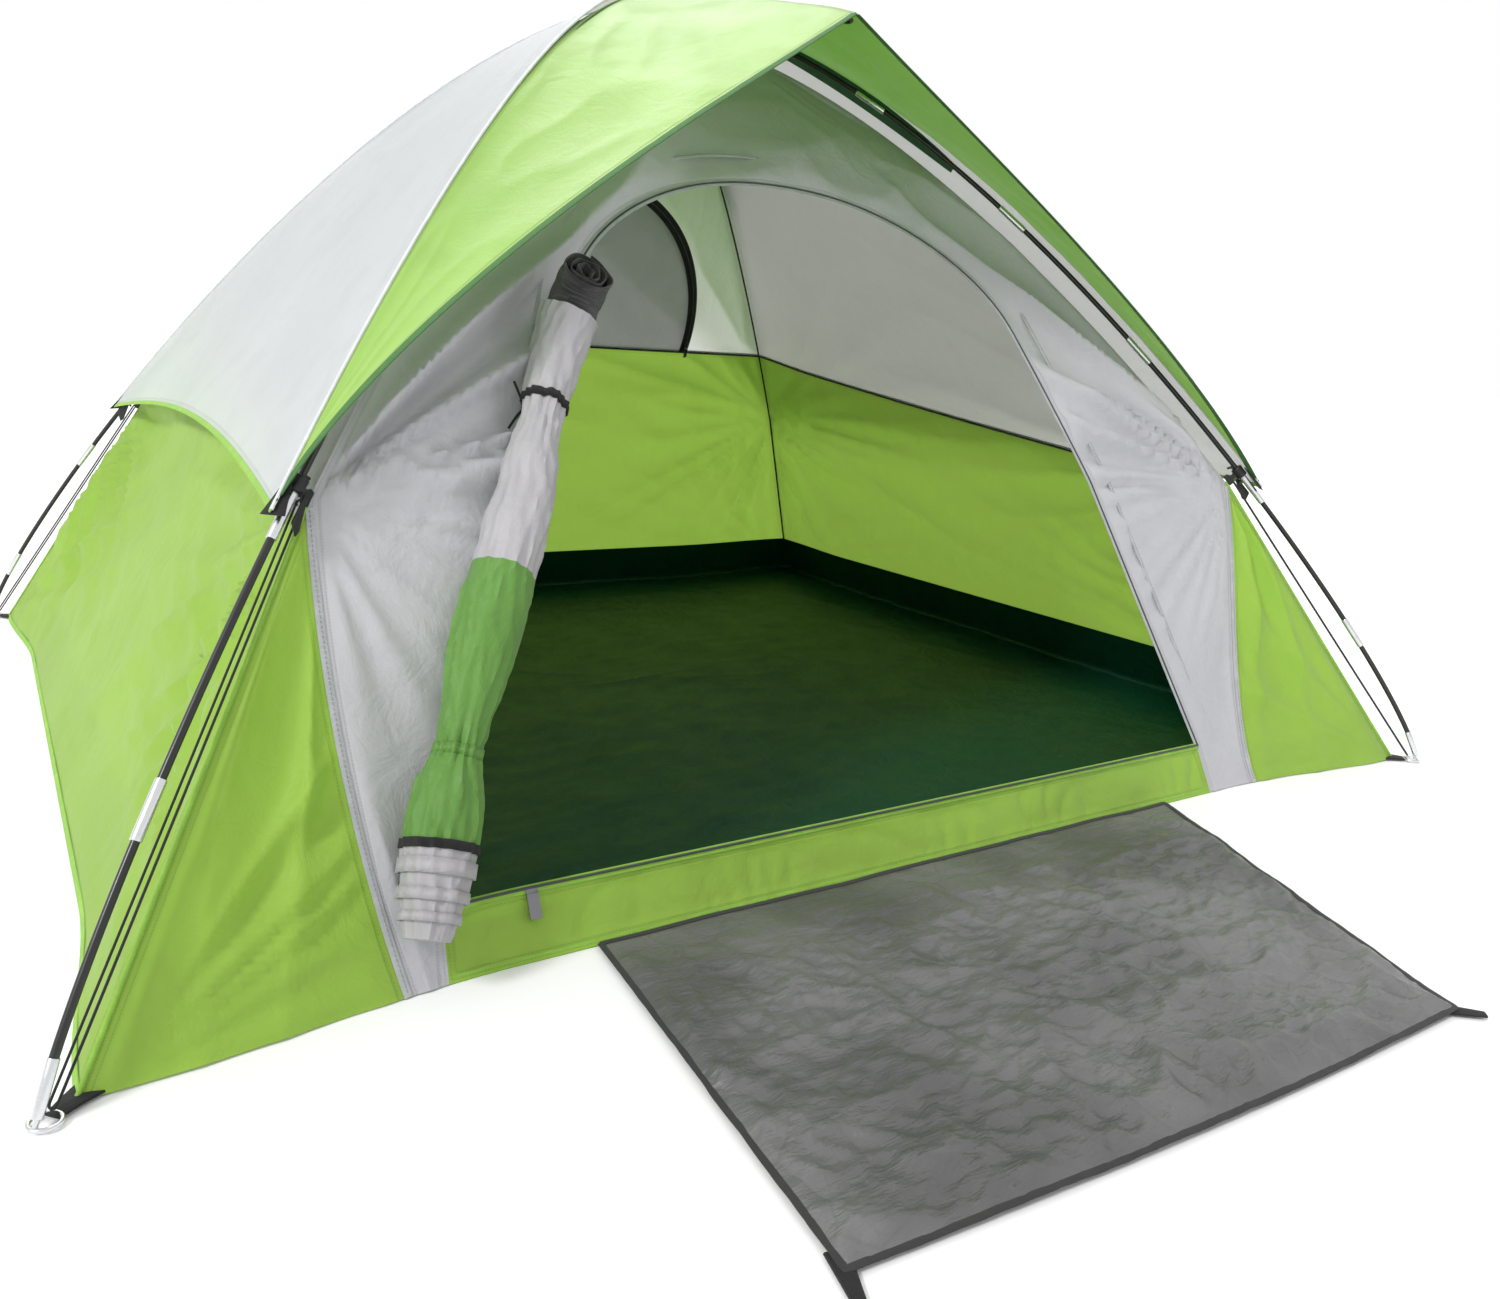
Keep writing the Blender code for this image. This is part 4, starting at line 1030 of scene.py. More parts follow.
def make_sill():
    """The strip of lime cloth under the door, its binding and the zip along its top."""
    top = float(length_at_height(SILL_HEIGHT))

    def low(t):
        return across_at("front", mix(SILL_FOOT[-1], SILL_FOOT[1], t), 0 * t), 0 * t

    def high(t):
        length = 0 * t + top
        x = mix(door_side(-1, SILL_HEIGHT), door_side(1, SILL_HEIGHT), t)
        return across_at("front", x, length), length

    def folds(a, b):
        deep = ridges(a * 16 + noise(a * 6, b * 5, 3), b * 7, 72, 2.5)
        return -0.0050 * deep - 0.0016 * ridges(a * 5, b * 9, 71)

    points, spread = wall_patch("front", low, high, 220, 14)
    sill = cloth_panel("sill_cloth", points, spread, wall_lime, "tent", folds, (1, 1, 1, 1), 0.02)
    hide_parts("front_sill")
    u, s = high(np.linspace(0, 1, 160))
    path, normals = surface_line("front", u, s)
    ribbon("sill_binding", path, normals, 0.010, 0.0014, lime_tape, "tent", 0.0002)
    coil = path + normals * 0.0022 + UP * 0.0015
    round_bar("sill_zip", coil, 0.0016, zip_teeth, "tent", 8)
    u, s = low(np.linspace(0, 1, 160))
    path, normals = surface_line("front", u, s + 0.004)
    ribbon("sill_foot_binding", path, normals, 0.009, 0.0012, lime_tape, "tent", -0.0022)


def make_door_trim():
    """The door's bound edge, its zip, and the flap that covers the zip over the arch."""
    u, s = door_edge(np.linspace(0.05, 0.95, 340))
    path, normals = surface_line("front", u, s)
    ribbon("door_binding", path, normals, 0.011, 0.0014, grey_tape, "tent", 0.0003)
    round_bar("door_zip", path + normals * 0.0022, 0.0014, zip_teeth, "tent", 8)
    x, height = door_edge_xz(np.linspace(0.08, 0.92, 300))
    step_x, step_z = np.gradient(x), np.gradient(height)
    reach = np.hypot(step_x, step_z)
    x = x - step_z / reach * FLAP_WIDTH
    height = height + step_x / reach * FLAP_WIDTH
    s = length_at_height(height)
    path, normals = surface_line("front", across_at("front", x, s), s)
    ribbon("zip_flap_seam", path, normals, 0.006, 0.0016, grey_tape, "tent", 0.0020)
    row_of_stitches("zip_flap_stitch", path, normals, thread_grey, "tent", lift=0.0046)


def window_edge(t):
    """The curved zip of the back window, from its left end to its right end."""
    angle = math.pi * t
    height = SEAM_BACK + (WINDOW_TOP - SEAM_BACK) * np.sin(angle)
    length = length_at_height(height)
    return across_at("back", -WINDOW_HALF * np.cos(angle), length), length


def make_back():
    """The back wall, the cloth that fills its window, and the curved zip between them."""
    make_plain_wall("back", 21)
    seam_length = float(length_at_height(SEAM_BACK))

    def outline(t):
        sign = np.where(t < 0.5, -1.0, 1.0)
        share = 2 * np.minimum(t, 1 - t)
        return np.where(share > 0.9999, 0.0, sign), mix(seam_length, WALL_TOP, share)

    points, spread = wall_patch("back", window_edge, outline, 200, 40)
    upper = cloth_panel("back_upper_cloth", points, spread, wall_grey, "tent", wall_folds(31, 0.7))
    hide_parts("back_wall_upper")

    def base(t):
        edge = window_edge(np.array([[0.0], [1.0]]))[0]
        return mix(edge[0, 0], edge[1, 0], (1 - np.cos(math.pi * t)) / 2), 0 * t + seam_length

    points, spread = wall_patch("back", base, window_edge, 120, 30, np.linspace(0.004, 0.996, 121))
    folds = wall_folds(33, 0.8)
    flap = cloth_panel("window_flap_cloth", points, spread, flap_grey, "tent", folds, (0, 0, 1, 1))
    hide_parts("rear_window_flap")
    u, s = window_edge(np.linspace(0.0, 1.0, 200))
    path, normals = surface_line("back", u, s)
    ribbon("window_zip_tape", path, -normals, 0.024, 0.0012, black_tape, "tent", 0.0008)
    round_bar("window_zip_coil", path - normals * 0.0030, 0.0018, zip_teeth, "tent", 8)
    ribbon("window_outer_binding", path, normals, 0.010, 0.0012, grey_tape, "tent", 0.0004)


def make_tub():
    """The floor and its turned-up edge, one sheet."""
    inward, floor, steps = 0.015, 0.0012, 60
    rim = []
    ground = []
    for side in ("front", "right", "back", "left"):
        across = 2 * np.arange(steps) / steps - 1
        height = np.full(steps, TUB_HEIGHT)
        if side == "front":
            height = mix(TUB_FRONT, TUB_HEIGHT, np.abs(across) ** 8)
        length = length_at_height(height)
        high = wall_point(side, across, length, inward)
        low = wall_point(side, across, 0 * length, inward)
        low[:, 2] = floor
        rim.append(high)
        ground.append(low)
    rim, ground = np.concatenate(rim), np.concatenate(ground)
    rings = [ground * share * np.array((1, 1, 0)) + UP * floor for share in np.linspace(0.001, 0.985, 70)]
    corner = ground + (rim - ground) * 0.03
    rings += [ground * np.array((0.995, 0.995, 1.0)), corner]
    rings += [mix(ground, rim, share) for share in np.linspace(0.12, 1, 12)]
    points = np.stack(rings, 0)
    points = np.concatenate([points, points[:, :1]], 1)
    x, y = points[..., 0], points[..., 1]
    level = np.clip((0.1 - points[..., 2]) / 0.1, 0, 1)
    lift = 0.0035 * ridges(x * 5 + noise(x * 2, y * 2, 5) * 1.5, y * 4, 81, 3.0)
    lift = lift + 0.003 * ridges(x * 2.1, y * 11.0 + noise(x * 3, y * 2, 8), 82, 4.0)
    lift = lift + 0.0015 * noise(x * 22, y * 22, 83)
    inside = smooth((1.0 - np.linspace(0, 1, len(rings))[:, None]) / 0.05)
    points = points + UP * np.maximum(lift, 0)[..., None] * (level * inside)[..., None]
    spread = (points[..., 0], points[..., 1])
    tub = cloth_panel("tub_cloth", points, spread, tub_green, "tent", None, (0, 0, 0, 0), out_from=(0, 0, 3))
    tub["flat_area"] = grid_area(points)
    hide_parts("tub_floor")


def make_seams():
    """Bound seams of the inner tent: the four corners and the line between lower and upper walls."""
    for corner in CORNERS:
        s = np.linspace(0.0, WALL_TOP, 160)
        path = at_corner(corner, body_edge(s, 0.0060))
        path[:, 2] = np.maximum(path[:, 2], 0.004)
        round_bar(f"corner_seam_{corner}", path, 0.0022, seam_cord, "tent", 10)
        path = at_corner(corner, body_edge(np.linspace(0.0, CLIP_AT, 80), -0.0006))
        path[:, 2] = np.maximum(path[:, 2], 0.003)
        round_bar(f"corner_binding_{corner}", path, 0.0024, lime_tape, "tent", 10)
    for side in ("right", "back", "left"):
        u = np.linspace(-0.995, 0.995, 140)
        path, normals = surface_line(side, u, seam_line(side, u))
        round_bar(f"wall_seam_{side}", path - normals * 0.0022, 0.0019, seam_cord, "tent", 8)
        ribbon(f"wall_seam_outer_{side}", path, normals, 0.010, 0.0010, grey_tape, "tent", 0.0004)
        u = np.linspace(-0.998, 0.998, 140)
        path, normals = surface_line(side, u, 0 * u + 0.005)
        ribbon(f"foot_binding_{side}", path, normals, 0.010, 0.0012, lime_tape, "tent", 0.0004)


# ---------------------------------------------------------------- the rolled door


LAST_RING = 149
UPPER_BAND_AT = 0.735


def roll_axis():
    """The middle line of the rolled door, from its hem up to its head, which leans outwards."""
    keys = np.array(ROLL_KEYS)
    height = np.linspace(keys[0, 1], keys[-1, 1], LAST_RING + 1)
    x = np.interp(height, keys[:, 1], keys[:, 0])
    x = np.convolve(np.pad(x, 12, mode="reflect", reflect_type="odd"), np.ones(25) / 25, "valid")
    length = length_at_height(height)
    path, normals = surface_line("front", across_at("front", x, length), length)
    path = path + normals * ROLL_STANDOFF
    bend = np.clip((np.linspace(0, 1, LAST_RING + 1) - 0.80) / 0.20, 0, 1)[:, None] ** 2
    return path + np.array(ROLL_HEAD_BEND) * bend


def make_roll():
    """The door cloth, rolled up and tied: net at the head, then grey, then lime, and a grey hem."""
    path = roll_axis()
    run = np.concatenate([[0], np.cumsum(np.linalg.norm(np.diff(path, axis=0), axis=1))])
    run /= run[-1]
    _, aside, above = frames_along(path, (1.0, 0.2, 0.0))
    turn = np.linspace(0, 2 * math.pi, 72, endpoint=False)[None, :]
    place = run[:, None]
    size = np.interp(run, *zip(*ROLL_FULLNESS))[:, None]
    lap = (turn - 3.9 - 0.5 * np.sin(place * 5)) / (2 * math.pi) % 1.0
    spiral = 0.0035 * (lap - 0.5)
    creases = 0.0050 * (ridges(turn * 1.9 + place * 2.0, place * 9.0, 91, 2.2) - 0.4)
    creases = creases + 0.0022 * noise(np.cos(turn) * 2.2 + 7, place * 26 + np.sin(turn) * 2.0, 92)
    ties = ((0.135, 0.03), (UPPER_BAND_AT, 0.04), (0.235, 0.04))
    pinch = sum(np.exp(-(((place - at) / reach) ** 2)) for at, reach in ties)
    gathers = 0.0016 * np.sin(turn * 17 + 3 * noise(turn * 0 + place * 3, place * 0, 4)) * pinch
    radius = ROLL_R * size + spiral + creases + gathers
    ring = np.cos(turn)[..., None] * aside[:, None] + np.sin(turn)[..., None] * above[:, None]
    rings = path[:, None] + ring * radius[..., None]
    zones = (
        ("door_roll_hem", 0.0, 0.115, roll_grey),
        ("door_roll_lime", 0.115, 0.480, roll_lime),
        ("door_roll_grey", 0.480, 0.895, roll_grey),
    )
    for name, low, high, mat in zones:
        first, last = int(round(low * LAST_RING)), int(round(high * LAST_RING))
        lofted(name, rings[first : last + 1], mat, "tent")
    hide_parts("door_roll")
    make_net_end(path, aside, above)
    for name, at, mat, wide in (
        ("roll_band_lower", 0.118, black_tape, 0.010),
        ("roll_band_upper", UPPER_BAND_AT, black_tape, 0.011),
        ("roll_band_green", 0.235, roll_lime, 0.012),
    ):
        k = int(at * LAST_RING)
        tie_band(name, rings[k], path[k], path[k + 1] - path[k - 1], mat, wide)
    for i, (at, wide) in enumerate(((0.088, 0.016), (0.060, 0.012), (0.030, 0.010))):
        k = int(at * LAST_RING)
        fuller = rings[k] + (rings[k] - path[k]) * 0.03
        tie_band(f"roll_hem_fold_{i + 1}", fuller, path[k], path[k + 1] - path[k - 1], roll_grey, wide)
    patch_dark(rings, path, int(0.072 * LAST_RING))
    k = int(UPPER_BAND_AT * LAST_RING)
    for i, reach in enumerate(((-0.020, -0.012, 0.034), (-0.026, -0.010, -0.022))):
        start = rings[k, 40]
        bow = np.array((-0.010, -0.012, 0.004 if i else 0.012))
        tail = bezier([start, start + bow, start + np.array(reach)], np.linspace(0, 1, 16))
        round_bar(f"roll_band_tail_{i + 1}", tail, 0.0016, black_tape, "tent", 10)
    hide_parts("roll_tie_lower")
    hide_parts("roll_tie_upper")


def patch_dark(rings, path, k):
    """A dark strip where the hem of the rolled door turns over: painted shade in the fold."""
    turn = slice(30, 44)
    edge = rings[k - 1 : k + 2, turn] - path[k - 1 : k + 2, None]
    outline = path[k - 1 : k + 2, None] + edge * 1.10
    taper = np.sin(np.linspace(0.3, math.pi - 0.1, outline.shape[1]))[None, :, None]
    middle = outline[1:2]
    outline = middle + (outline - middle) * taper
    widths = 0.014 * taper[0, :, 0]
    ribbon("roll_hem_painted_shade", outline[1], unit(edge[1]), widths, 0.0008, black_tape, "tent", 0.0002)


def tie_band(name, ring, centre, along, mat, width):
    """A flat elastic loop drawn tight round the roll."""
    along = along / np.linalg.norm(along)
    out = ring - centre
    reach = np.linalg.norm(out, axis=1, keepdims=True)
    out = out / reach
    rings = []
    for high, lift in ((-0.5, 0.0), (-0.5, 0.0022), (0.5, 0.0022), (0.5, 0.0)):
        rings.append(centre + out * (reach + lift) + along * width * high)
    section = np.stack(rings, 1)
    count = len(ring)
    verts = section.reshape(-1, 3).tolist()
    quads = []
    for i in range(count):
        n = (i + 1) % count
        for k in range(4):
            m = (k + 1) % 4
            quads.append((i * 4 + k, i * 4 + m, n * 4 + m, n * 4 + k))
    mesh = bpy.data.meshes.new(name)
    mesh.from_pydata(verts, [], quads)
    mesh.uv_layers.new(name="UVMap")
    turn_faces_out(mesh)
    return link(name, mesh, mat, "tent")


def make_net_end(path, aside, above):
    """Netting at the roll's head, wound in a loose spiral whose end shows."""
    first = int(0.885 * LAST_RING)
    core = path[first:]
    along = core[-1] - core[-4]
    along = along / np.linalg.norm(along)
    turns, count = 3.4, 190
    angle = np.linspace(0, turns * 2 * math.pi, count)
    reach = mix(0.006, ROLL_R * 0.98, (angle / angle[-1]) ** 0.9)
    reach = reach * (1 + 0.10 * np.sin(angle * 2.3) * (1 - angle / angle[-1]))
    heights = np.linspace(0, 1, 26)
    net_depth = 0.09
    sheet_points = []
    for share in heights:
        low = int(first + share * (LAST_RING - first))
        wave = 0.0022 * noise(angle * 1.3, share * 4 + 0 * angle, 95)
        out = np.cos(angle)[:, None] * aside[low] + np.sin(angle)[:, None] * above[low]
        rise = along * (0.004 * noise(angle * 0.8, angle * 0 + 2, 96) * share)[:, None]
        sheet_points.append(path[low] + out * (reach + wave)[:, None] + rise)
    points = np.stack(sheet_points, 1)
    wound = np.broadcast_to((reach * angle)[:, None], points.shape[:2])
    deep = np.broadcast_to(heights[None, :] * net_depth, points.shape[:2])
    net = cloth_panel(
        "door_roll_net", points, (wound, deep), black_net, "tent", None, (0, 0, 0, 0), out_from=core[0]
    )
    solid = net.modifiers.new("cloth", "SOLIDIFY")
    solid.thickness = 0.0012
    solid.offset = 0
    bpy.context.view_layer.objects.active = net
    with bpy.context.temp_override(object=net, active_object=net):
        bpy.ops.object.modifier_apply(modifier=solid.name)
    plug = core[: int(len(core) * 0.82)]
    _, beside, over = frames_along(plug, (1.0, 0.2, 0.0))
    turn = np.linspace(0, 2 * math.pi, 40, endpoint=False)
    ring = np.cos(turn)[None, :, None] * beside[:, None] + np.sin(turn)[None, :, None] * over[:, None]
    lofted("door_roll_core", plug[:, None] + ring * (ROLL_R * 0.80), black_net, "tent")


# ---------------------------------------------------------------- the rainfly


def hem_length(across):
    return FLY_CORNER + HEM_RISE * (1 - across * across)


def fly_side_point(side, across, share):
    """A point on a side of the rainfly, with its length up the corner and the half width there."""
    first, second = SIDES[side][:2]
    length = mix(hem_length(across), UPPER.length, share)
    flat = fly_edge(length)
    a, b = at_corner(first, flat), at_corner(second, flat)
    return mix(a, b, ((across + 1) / 2)[..., None]), length, np.linalg.norm(b - a, axis=-1) / 2


def fly_folds(seed):
    def folds(a, b):
        total = 0.0030 * noise(a * 1.6, b * 2.0, seed)
        total = total + 0.0016 * (ridges(a * 5 + noise(a, b, seed) * 2, b * 1.4, seed + 1, 3.0) - 0.4)
        for k, corner in enumerate((-0.85, 0.85)):
            total = total + pull_lines(a, b, (corner, FLY_CORNER), 0.5, 5.0, 0.007, seed + 4 + k)
        return total

    return folds


def make_fly_side(side, seed):
    """A side panel of the rainfly, from its hem to the crossing of the poles."""
    across = np.linspace(-1, 1, 141)[:, None] + np.zeros((1, 121))
    share = np.linspace(0, 1, 121)[None, :] + 0 * across
    points, length, wide = fly_side_point(side, across, share)
    spread = (across * wide, length)
    folds = fly_folds(seed)
    panel = cloth_panel(f"fly_{side}_cloth", points, spread, fly_grey, "rainfly", folds, (1, 1, 1, 1), 0.05)
    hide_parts(f"fly_{side}_panel")
    u = np.linspace(-1, 1, 140)
    path, _, _ = fly_side_point(side, u, 0 * u)
    above, _, _ = fly_side_point(side, u, 0 * u + 0.01)
    normals = unit(np.cross(np.gradient(path, axis=0), above - path))
    if faces_in(normals, path):
        normals = -normals
    ribbon(f"fly_{side}_hem", path, normals, 0.008, 0.0012, lime_tape, "rainfly", -0.0002)


def awning_hem(share):
    """Half of an awning's hem from the fly's corner to the tip, x and y both positive."""
    corner = at_corner("back_right", fly_edge(np.array(FLY_CORNER)))
    tip_height = FLY_TOP - AWNING_TIP_DROP
    control = (
        (corner[0], corner[2]),
        (0.84 * corner[0], corner[2] + 0.20),
        (0.375 * corner[0], tip_height - 0.195),
        (0.0, tip_height),
    )
    flat = bezier(control, share)
    lean = (flat[..., 1] - corner[2]) / (tip_height - corner[2])
    return np.stack([flat[..., 0], mix(corner[1] - 0.006, AWNING_TIP_Y, lean), flat[..., 1]], -1)


def awning_point(facing, t, w):
    """A point on an awning: t runs round from corner to corner, w from the fly's seam to the hem."""
    sign = np.where(t < 0.5, -1.0, 1.0)
    share = 2 * np.minimum(t, 1 - t)
    seam = at_corner("back_right", fly_edge(mix(FLY_CORNER, UPPER.length, share)))
    hem = awning_hem(share)
    point = mix(seam, hem, w[..., None])
    chord = mix(RIDGE_TOP, float(ridge_height(AWNING_TIP_Y)), w)
    point[..., 2] += (ridge_height(point[..., 1]) - chord) * share**6
    sag = -0.010 * np.sin(math.pi * w) * np.sin(math.pi * share) ** 1.5
    return np.stack([sign * point[..., 0], facing * point[..., 1], point[..., 2] + sag], -1)


def awning_folds(seed):
    def folds(a, b):
        total = 0.0020 * noise(a * 3, b * 3, seed)
        return total + 0.0030 * (ridges(a * 4.5 + noise(a, b, seed) * 1.5, b * 5.0, seed + 1, 3.0) - 0.4)

    return folds


def make_awning(word, facing, seed):
    """The awning over the door or the back, with its bound hem."""
    t = np.linspace(0, 1, 261)[:, None] + np.zeros((1, 37))
    w = np.linspace(0, 1, 37)[None, :] + 0 * t
    points = awning_point(facing, t, w)
    spread = ((2 * t - 1) * 1.4, w * 0.6)
    folds = awning_folds(seed)
    panel = cloth_panel(f"fly_{word}_cloth", points, spread, fly_lime, "rainfly", folds, (0, 0, 1, 1), 0.04)
    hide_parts(f"fly_{word}_awning")
    t = np.linspace(0.0, 1.0, 260)
    path = awning_point(facing, t, 0 * t + 1)
    inner = awning_point(facing, t, 0 * t + 0.97)
    normals = unit(np.cross(np.gradient(path, axis=0), path - inner))
    if np.mean(normals[:, 2]) < 0:
        normals = -normals
    ribbon(f"awning_{word}_hem", path, normals, 0.012, 0.0014, green_hem, "rainfly", -0.0012)


def make_painted_shade_bands():
    """Dark green strips inside the fly where it lies along the poles, near the top: painted shade, for the
    awning's underside in shadow.
    """
    for corner in CORNERS:
        s = np.linspace(UPPER.length - 0.62, UPPER.length - 0.10, 70)
        path = at_corner(corner, fly_edge(s, 0.0040))
        normal = np.cross(np.gradient(path, axis=0), (0.0, 1.0, 0.0))
        normal *= np.sign(normal[:, 2:]) / np.linalg.norm(normal, axis=1, keepdims=True)
        side = np.array((0.0, -np.sign(CORNERS[corner][1]), 0.0))
        widths = 0.052 * np.sin(np.linspace(0.25, math.pi - 0.3, 70)) ** 0.5
        path = path + side * 0.024
        ribbon(f"fly_painted_shade_band_{corner}", path, normal, widths, 0.0008, band_green, "rainfly", -0.0045)


def make_fly_seams():
    for corner in CORNERS:
        s = np.linspace(FLY_CORNER, UPPER.length, 150)
        path = at_corner(corner, fly_edge(s, -0.0008))
        round_bar(f"fly_piping_{corner}", path, 0.0021, white_piping, "rainfly", 10)


# ---------------------------------------------------------------- poles and fittings


RIDGE_CAP_RADII = (0.0055, 0.0058, 0.0058, 0.0058, 0.0058, 0.0056, 0.005, 0.003)
TIP_R = 0.0053


def make_poles():
    """The poles' black shafts, bright sleeves and tips, and the ridge pole with its caps."""
    for pole, arch in (("a", LOWER), ("b", UPPER)):
        total = 2 * arch.length
        cuts = [TIP_END, *JOINTS, total - TIP_END]
        for i, (first, last) in enumerate(zip(cuts, cuts[1:])):
            path = pole_point(arch, pole, np.linspace(first, last, 60))
            shaft = round_bar(f"pole_{pole}_shaft_{i + 1}", path, POLE_R, fibre, "tent", 18)
            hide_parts(f"pole_{pole}_section_{i + 1}")
        for i, middle in enumerate(FERRULES):
            half = FERRULE_LENGTH / 2
            start, end = pole_point(arch, pole, middle + np.array((-half, half)))
            sleeve = turned(f"pole_{pole}_sleeve_{i + 1}", start, end, FERRULE_R, bright_steel, "tent")
            near = [k for k, joint in enumerate(JOINTS) if abs(joint - middle) < 0.02]
            if near:
                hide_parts(f"pole_{pole}_ferrule_{near[0] + 1}")
        tips = (("front", TIP_START, TIP_END), ("back", total - TIP_END, total - TIP_START))
        for word, first, last in tips:
            start, end = pole_point(arch, pole, np.array((first, last)))
            tip = turned(f"pole_{pole}_end_{word}", start, end, TIP_R, bright_steel, "tent", 0.0009)
            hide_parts(f"pole_{pole}_tip_{word}")
    y = np.linspace(-RIDGE_REACH, RIDGE_REACH, 60)
    path = np.stack([0 * y, y, ridge_height(y)], -1)
    ridge = round_bar("ridge_shaft", path, POLE_R, fibre, "rainfly", 18)
    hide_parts("ridge_pole")
    for word, end in (("front", -1), ("back", 1)):
        y = np.linspace(RIDGE_REACH - 0.03, RIDGE_REACH + 0.006, 8) * end
        path = np.stack([0 * y, y, ridge_height(y)], -1)
        round_bar(f"ridge_cap_{word}", path, RIDGE_CAP_RADII, plastic, "rainfly", 18)


def flat_point(corner, flat, aside=0.0):
    return at_corner(corner, np.asarray(flat, float)) + across_vector(corner) * aside


def bevelled_block(name, outline, rise, mat, body, bevel=0.0008):
    """A flat outline pushed along a vector, its edges rounded."""
    shell = bmesh.new()
    low = [shell.verts.new(Vector(p)) for p in outline]
    high = [shell.verts.new(Vector(p + rise)) for p in outline]
    shell.faces.new(low)
    shell.faces.new(high)
    for k in range(len(outline)):
        shell.faces.new((low[k - 1], low[k], high[k], high[k - 1]))
    bmesh.ops.recalc_face_normals(shell, faces=shell.faces)
    mesh = bpy.data.meshes.new(name)
    shell.to_mesh(mesh)
    shell.free()
    piece = link(name, mesh, mat, body)
    rounded = piece.modifiers.new("rounded", "BEVEL")
    rounded.width = bevel
    rounded.segments = 3
    with bpy.context.temp_override(object=piece, active_object=piece):
        bpy.ops.object.modifier_apply(modifier=rounded.name)
    piece.data.set_sharp_from_angle(angle=math.radians(50))
    return piece


def finish_by_hand(piece, mat, body, sharp=40):
    """Places a hand-shaped piece in the tent's frame, with its finish and body."""
    bpy.ops.object.mode_set(mode="OBJECT")
    bpy.ops.object.transform_apply(location=True, rotation=True, scale=True)
    piece.data.materials.append(mat)
    bpy.ops.object.shade_smooth_by_angle(angle=math.radians(sharp))
    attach(piece, body)
    piece.select_set(False)
    return piece


def turned(name, start, end, radius, mat, body, lip=0.0012):
    """A round piece turned between two points, with eased ends."""
    start, end = Vector(start), Vector(end)
    bpy.ops.object.select_all(action="DESELECT")
    lean = (end - start).to_track_quat("Z", "Y").to_euler()
    bpy.ops.mesh.primitive_cylinder_add(
        vertices=28, radius=radius, depth=(end - start).length, location=(start + end) / 2, rotation=lean
    )
    piece = bpy.context.active_object
    piece.name = name
    eased = piece.modifiers.new("eased", "BEVEL")
    eased.width = lip
    eased.segments = 3
    bpy.ops.object.modifier_apply(modifier=eased.name)
    return finish_by_hand(piece, mat, body)


# The clip's arm, as distance in from the pole and along it: waisted, with a crossbar at its end
CLIP_ARM = (
    (0.004, -0.007),
    (0.014, -0.0035),
    (0.019, -0.010),
    (0.026, -0.010),
    (0.026, 0.010),
    (0.019, 0.010),
    (0.014, 0.0035),
    (0.004, 0.007),
)


def make_clip(corner, arch):
    """The snap clip: a collar on the pole, a waisted arm and a crossbar in the tent's corner tape."""
    half = 0.010
    s = CLIP_AT + np.array((-half, -half + 0.001, -half + 0.003, 0, half - 0.003, half - 0.001, half))
    radii = np.array((0.0078, 0.0092, 0.0098, 0.0090, 0.0098, 0.0092, 0.0078))
    path = at_corner(corner, arch.at(s))
    collar = round_bar(f"clip_collar_{corner}", path, radii, plastic, "tent", 24)
    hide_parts(f"pole_clip_{corner}")
    slope = float(arch.slope(CLIP_AT))
    along = np.array((-math.cos(slope), math.sin(slope)))
    inward = np.array((-math.sin(slope), -math.cos(slope)))
    middle = arch.at(np.array(CLIP_AT))
    outline = [flat_point(corner, middle + inward * a + along * b, -0.0035) for a, b in CLIP_ARM]
    bevelled_block(f"clip_arm_{corner}", outline, across_vector(corner) * 0.007, plastic, "tent", 0.0012)
    for k, tip in enumerate((-0.018, 0.018)):
        bends = ((0.002, 0.45), (0.004, 0.8), (0.012, 1.0))
        path = np.stack([flat_point(corner, middle + inward * a + along * (tip * b)) for a, b in bends])
        fine = np.stack([np.interp(np.linspace(0, 2, 9), (0, 1, 2), path[:, j]) for j in range(3)], -1)
        round_bar(f"clip_prong_{corner}_{k + 1}", fine, np.linspace(0.0032, 0.0020, 9), plastic, "tent", 12)


def make_anchor(corner, arch):
    """Webbing tab from the floor's corner, steel ring and pin."""
    out = CORNERS[corner]
    distance = np.linspace(SPAN - STRAP - 0.020, SPAN - 0.020, 24)
    rise = 0.0022 + 0.0012 * np.sin(np.linspace(0, math.pi, 24))
    path = out * distance[:, None] + UP * rise[:, None]
    widths = np.interp(np.linspace(0, 1, 24), (0, 0.4, 1), (0.034, 0.026, 0.016))
    normals = np.broadcast_to(UP, path.shape)
    tab = ribbon(f"anchor_tab_{corner}", path, normals, widths, 0.0026, black_tape, "tent")
    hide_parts(f"anchor_{corner}")
    centre = out * (SPAN - 0.0125) + UP * 0.0036
    bpy.ops.object.select_all(action="DESELECT")
    bpy.ops.mesh.primitive_torus_add(
        location=centre, major_radius=0.0130, minor_radius=0.0022, major_segments=48, minor_segments=14
    )
    ring = bpy.context.active_object
    ring.name = f"anchor_ring_{corner}"
    finish_by_hand(ring, bright_steel, "tent")
    start, end = at_corner(corner, arch.at(np.array((0.003, 0.046))))
    turned(f"anchor_pin_{corner}", start, end, 0.0026, bright_steel, "tent", 0.0006)
    name = f"anchor_stitch_{corner}"
    row_of_stitches(name, path[3:14], normals[3:14], thread_grey, "tent", 0.004, 0.0026, 0.0005, 0.0032)


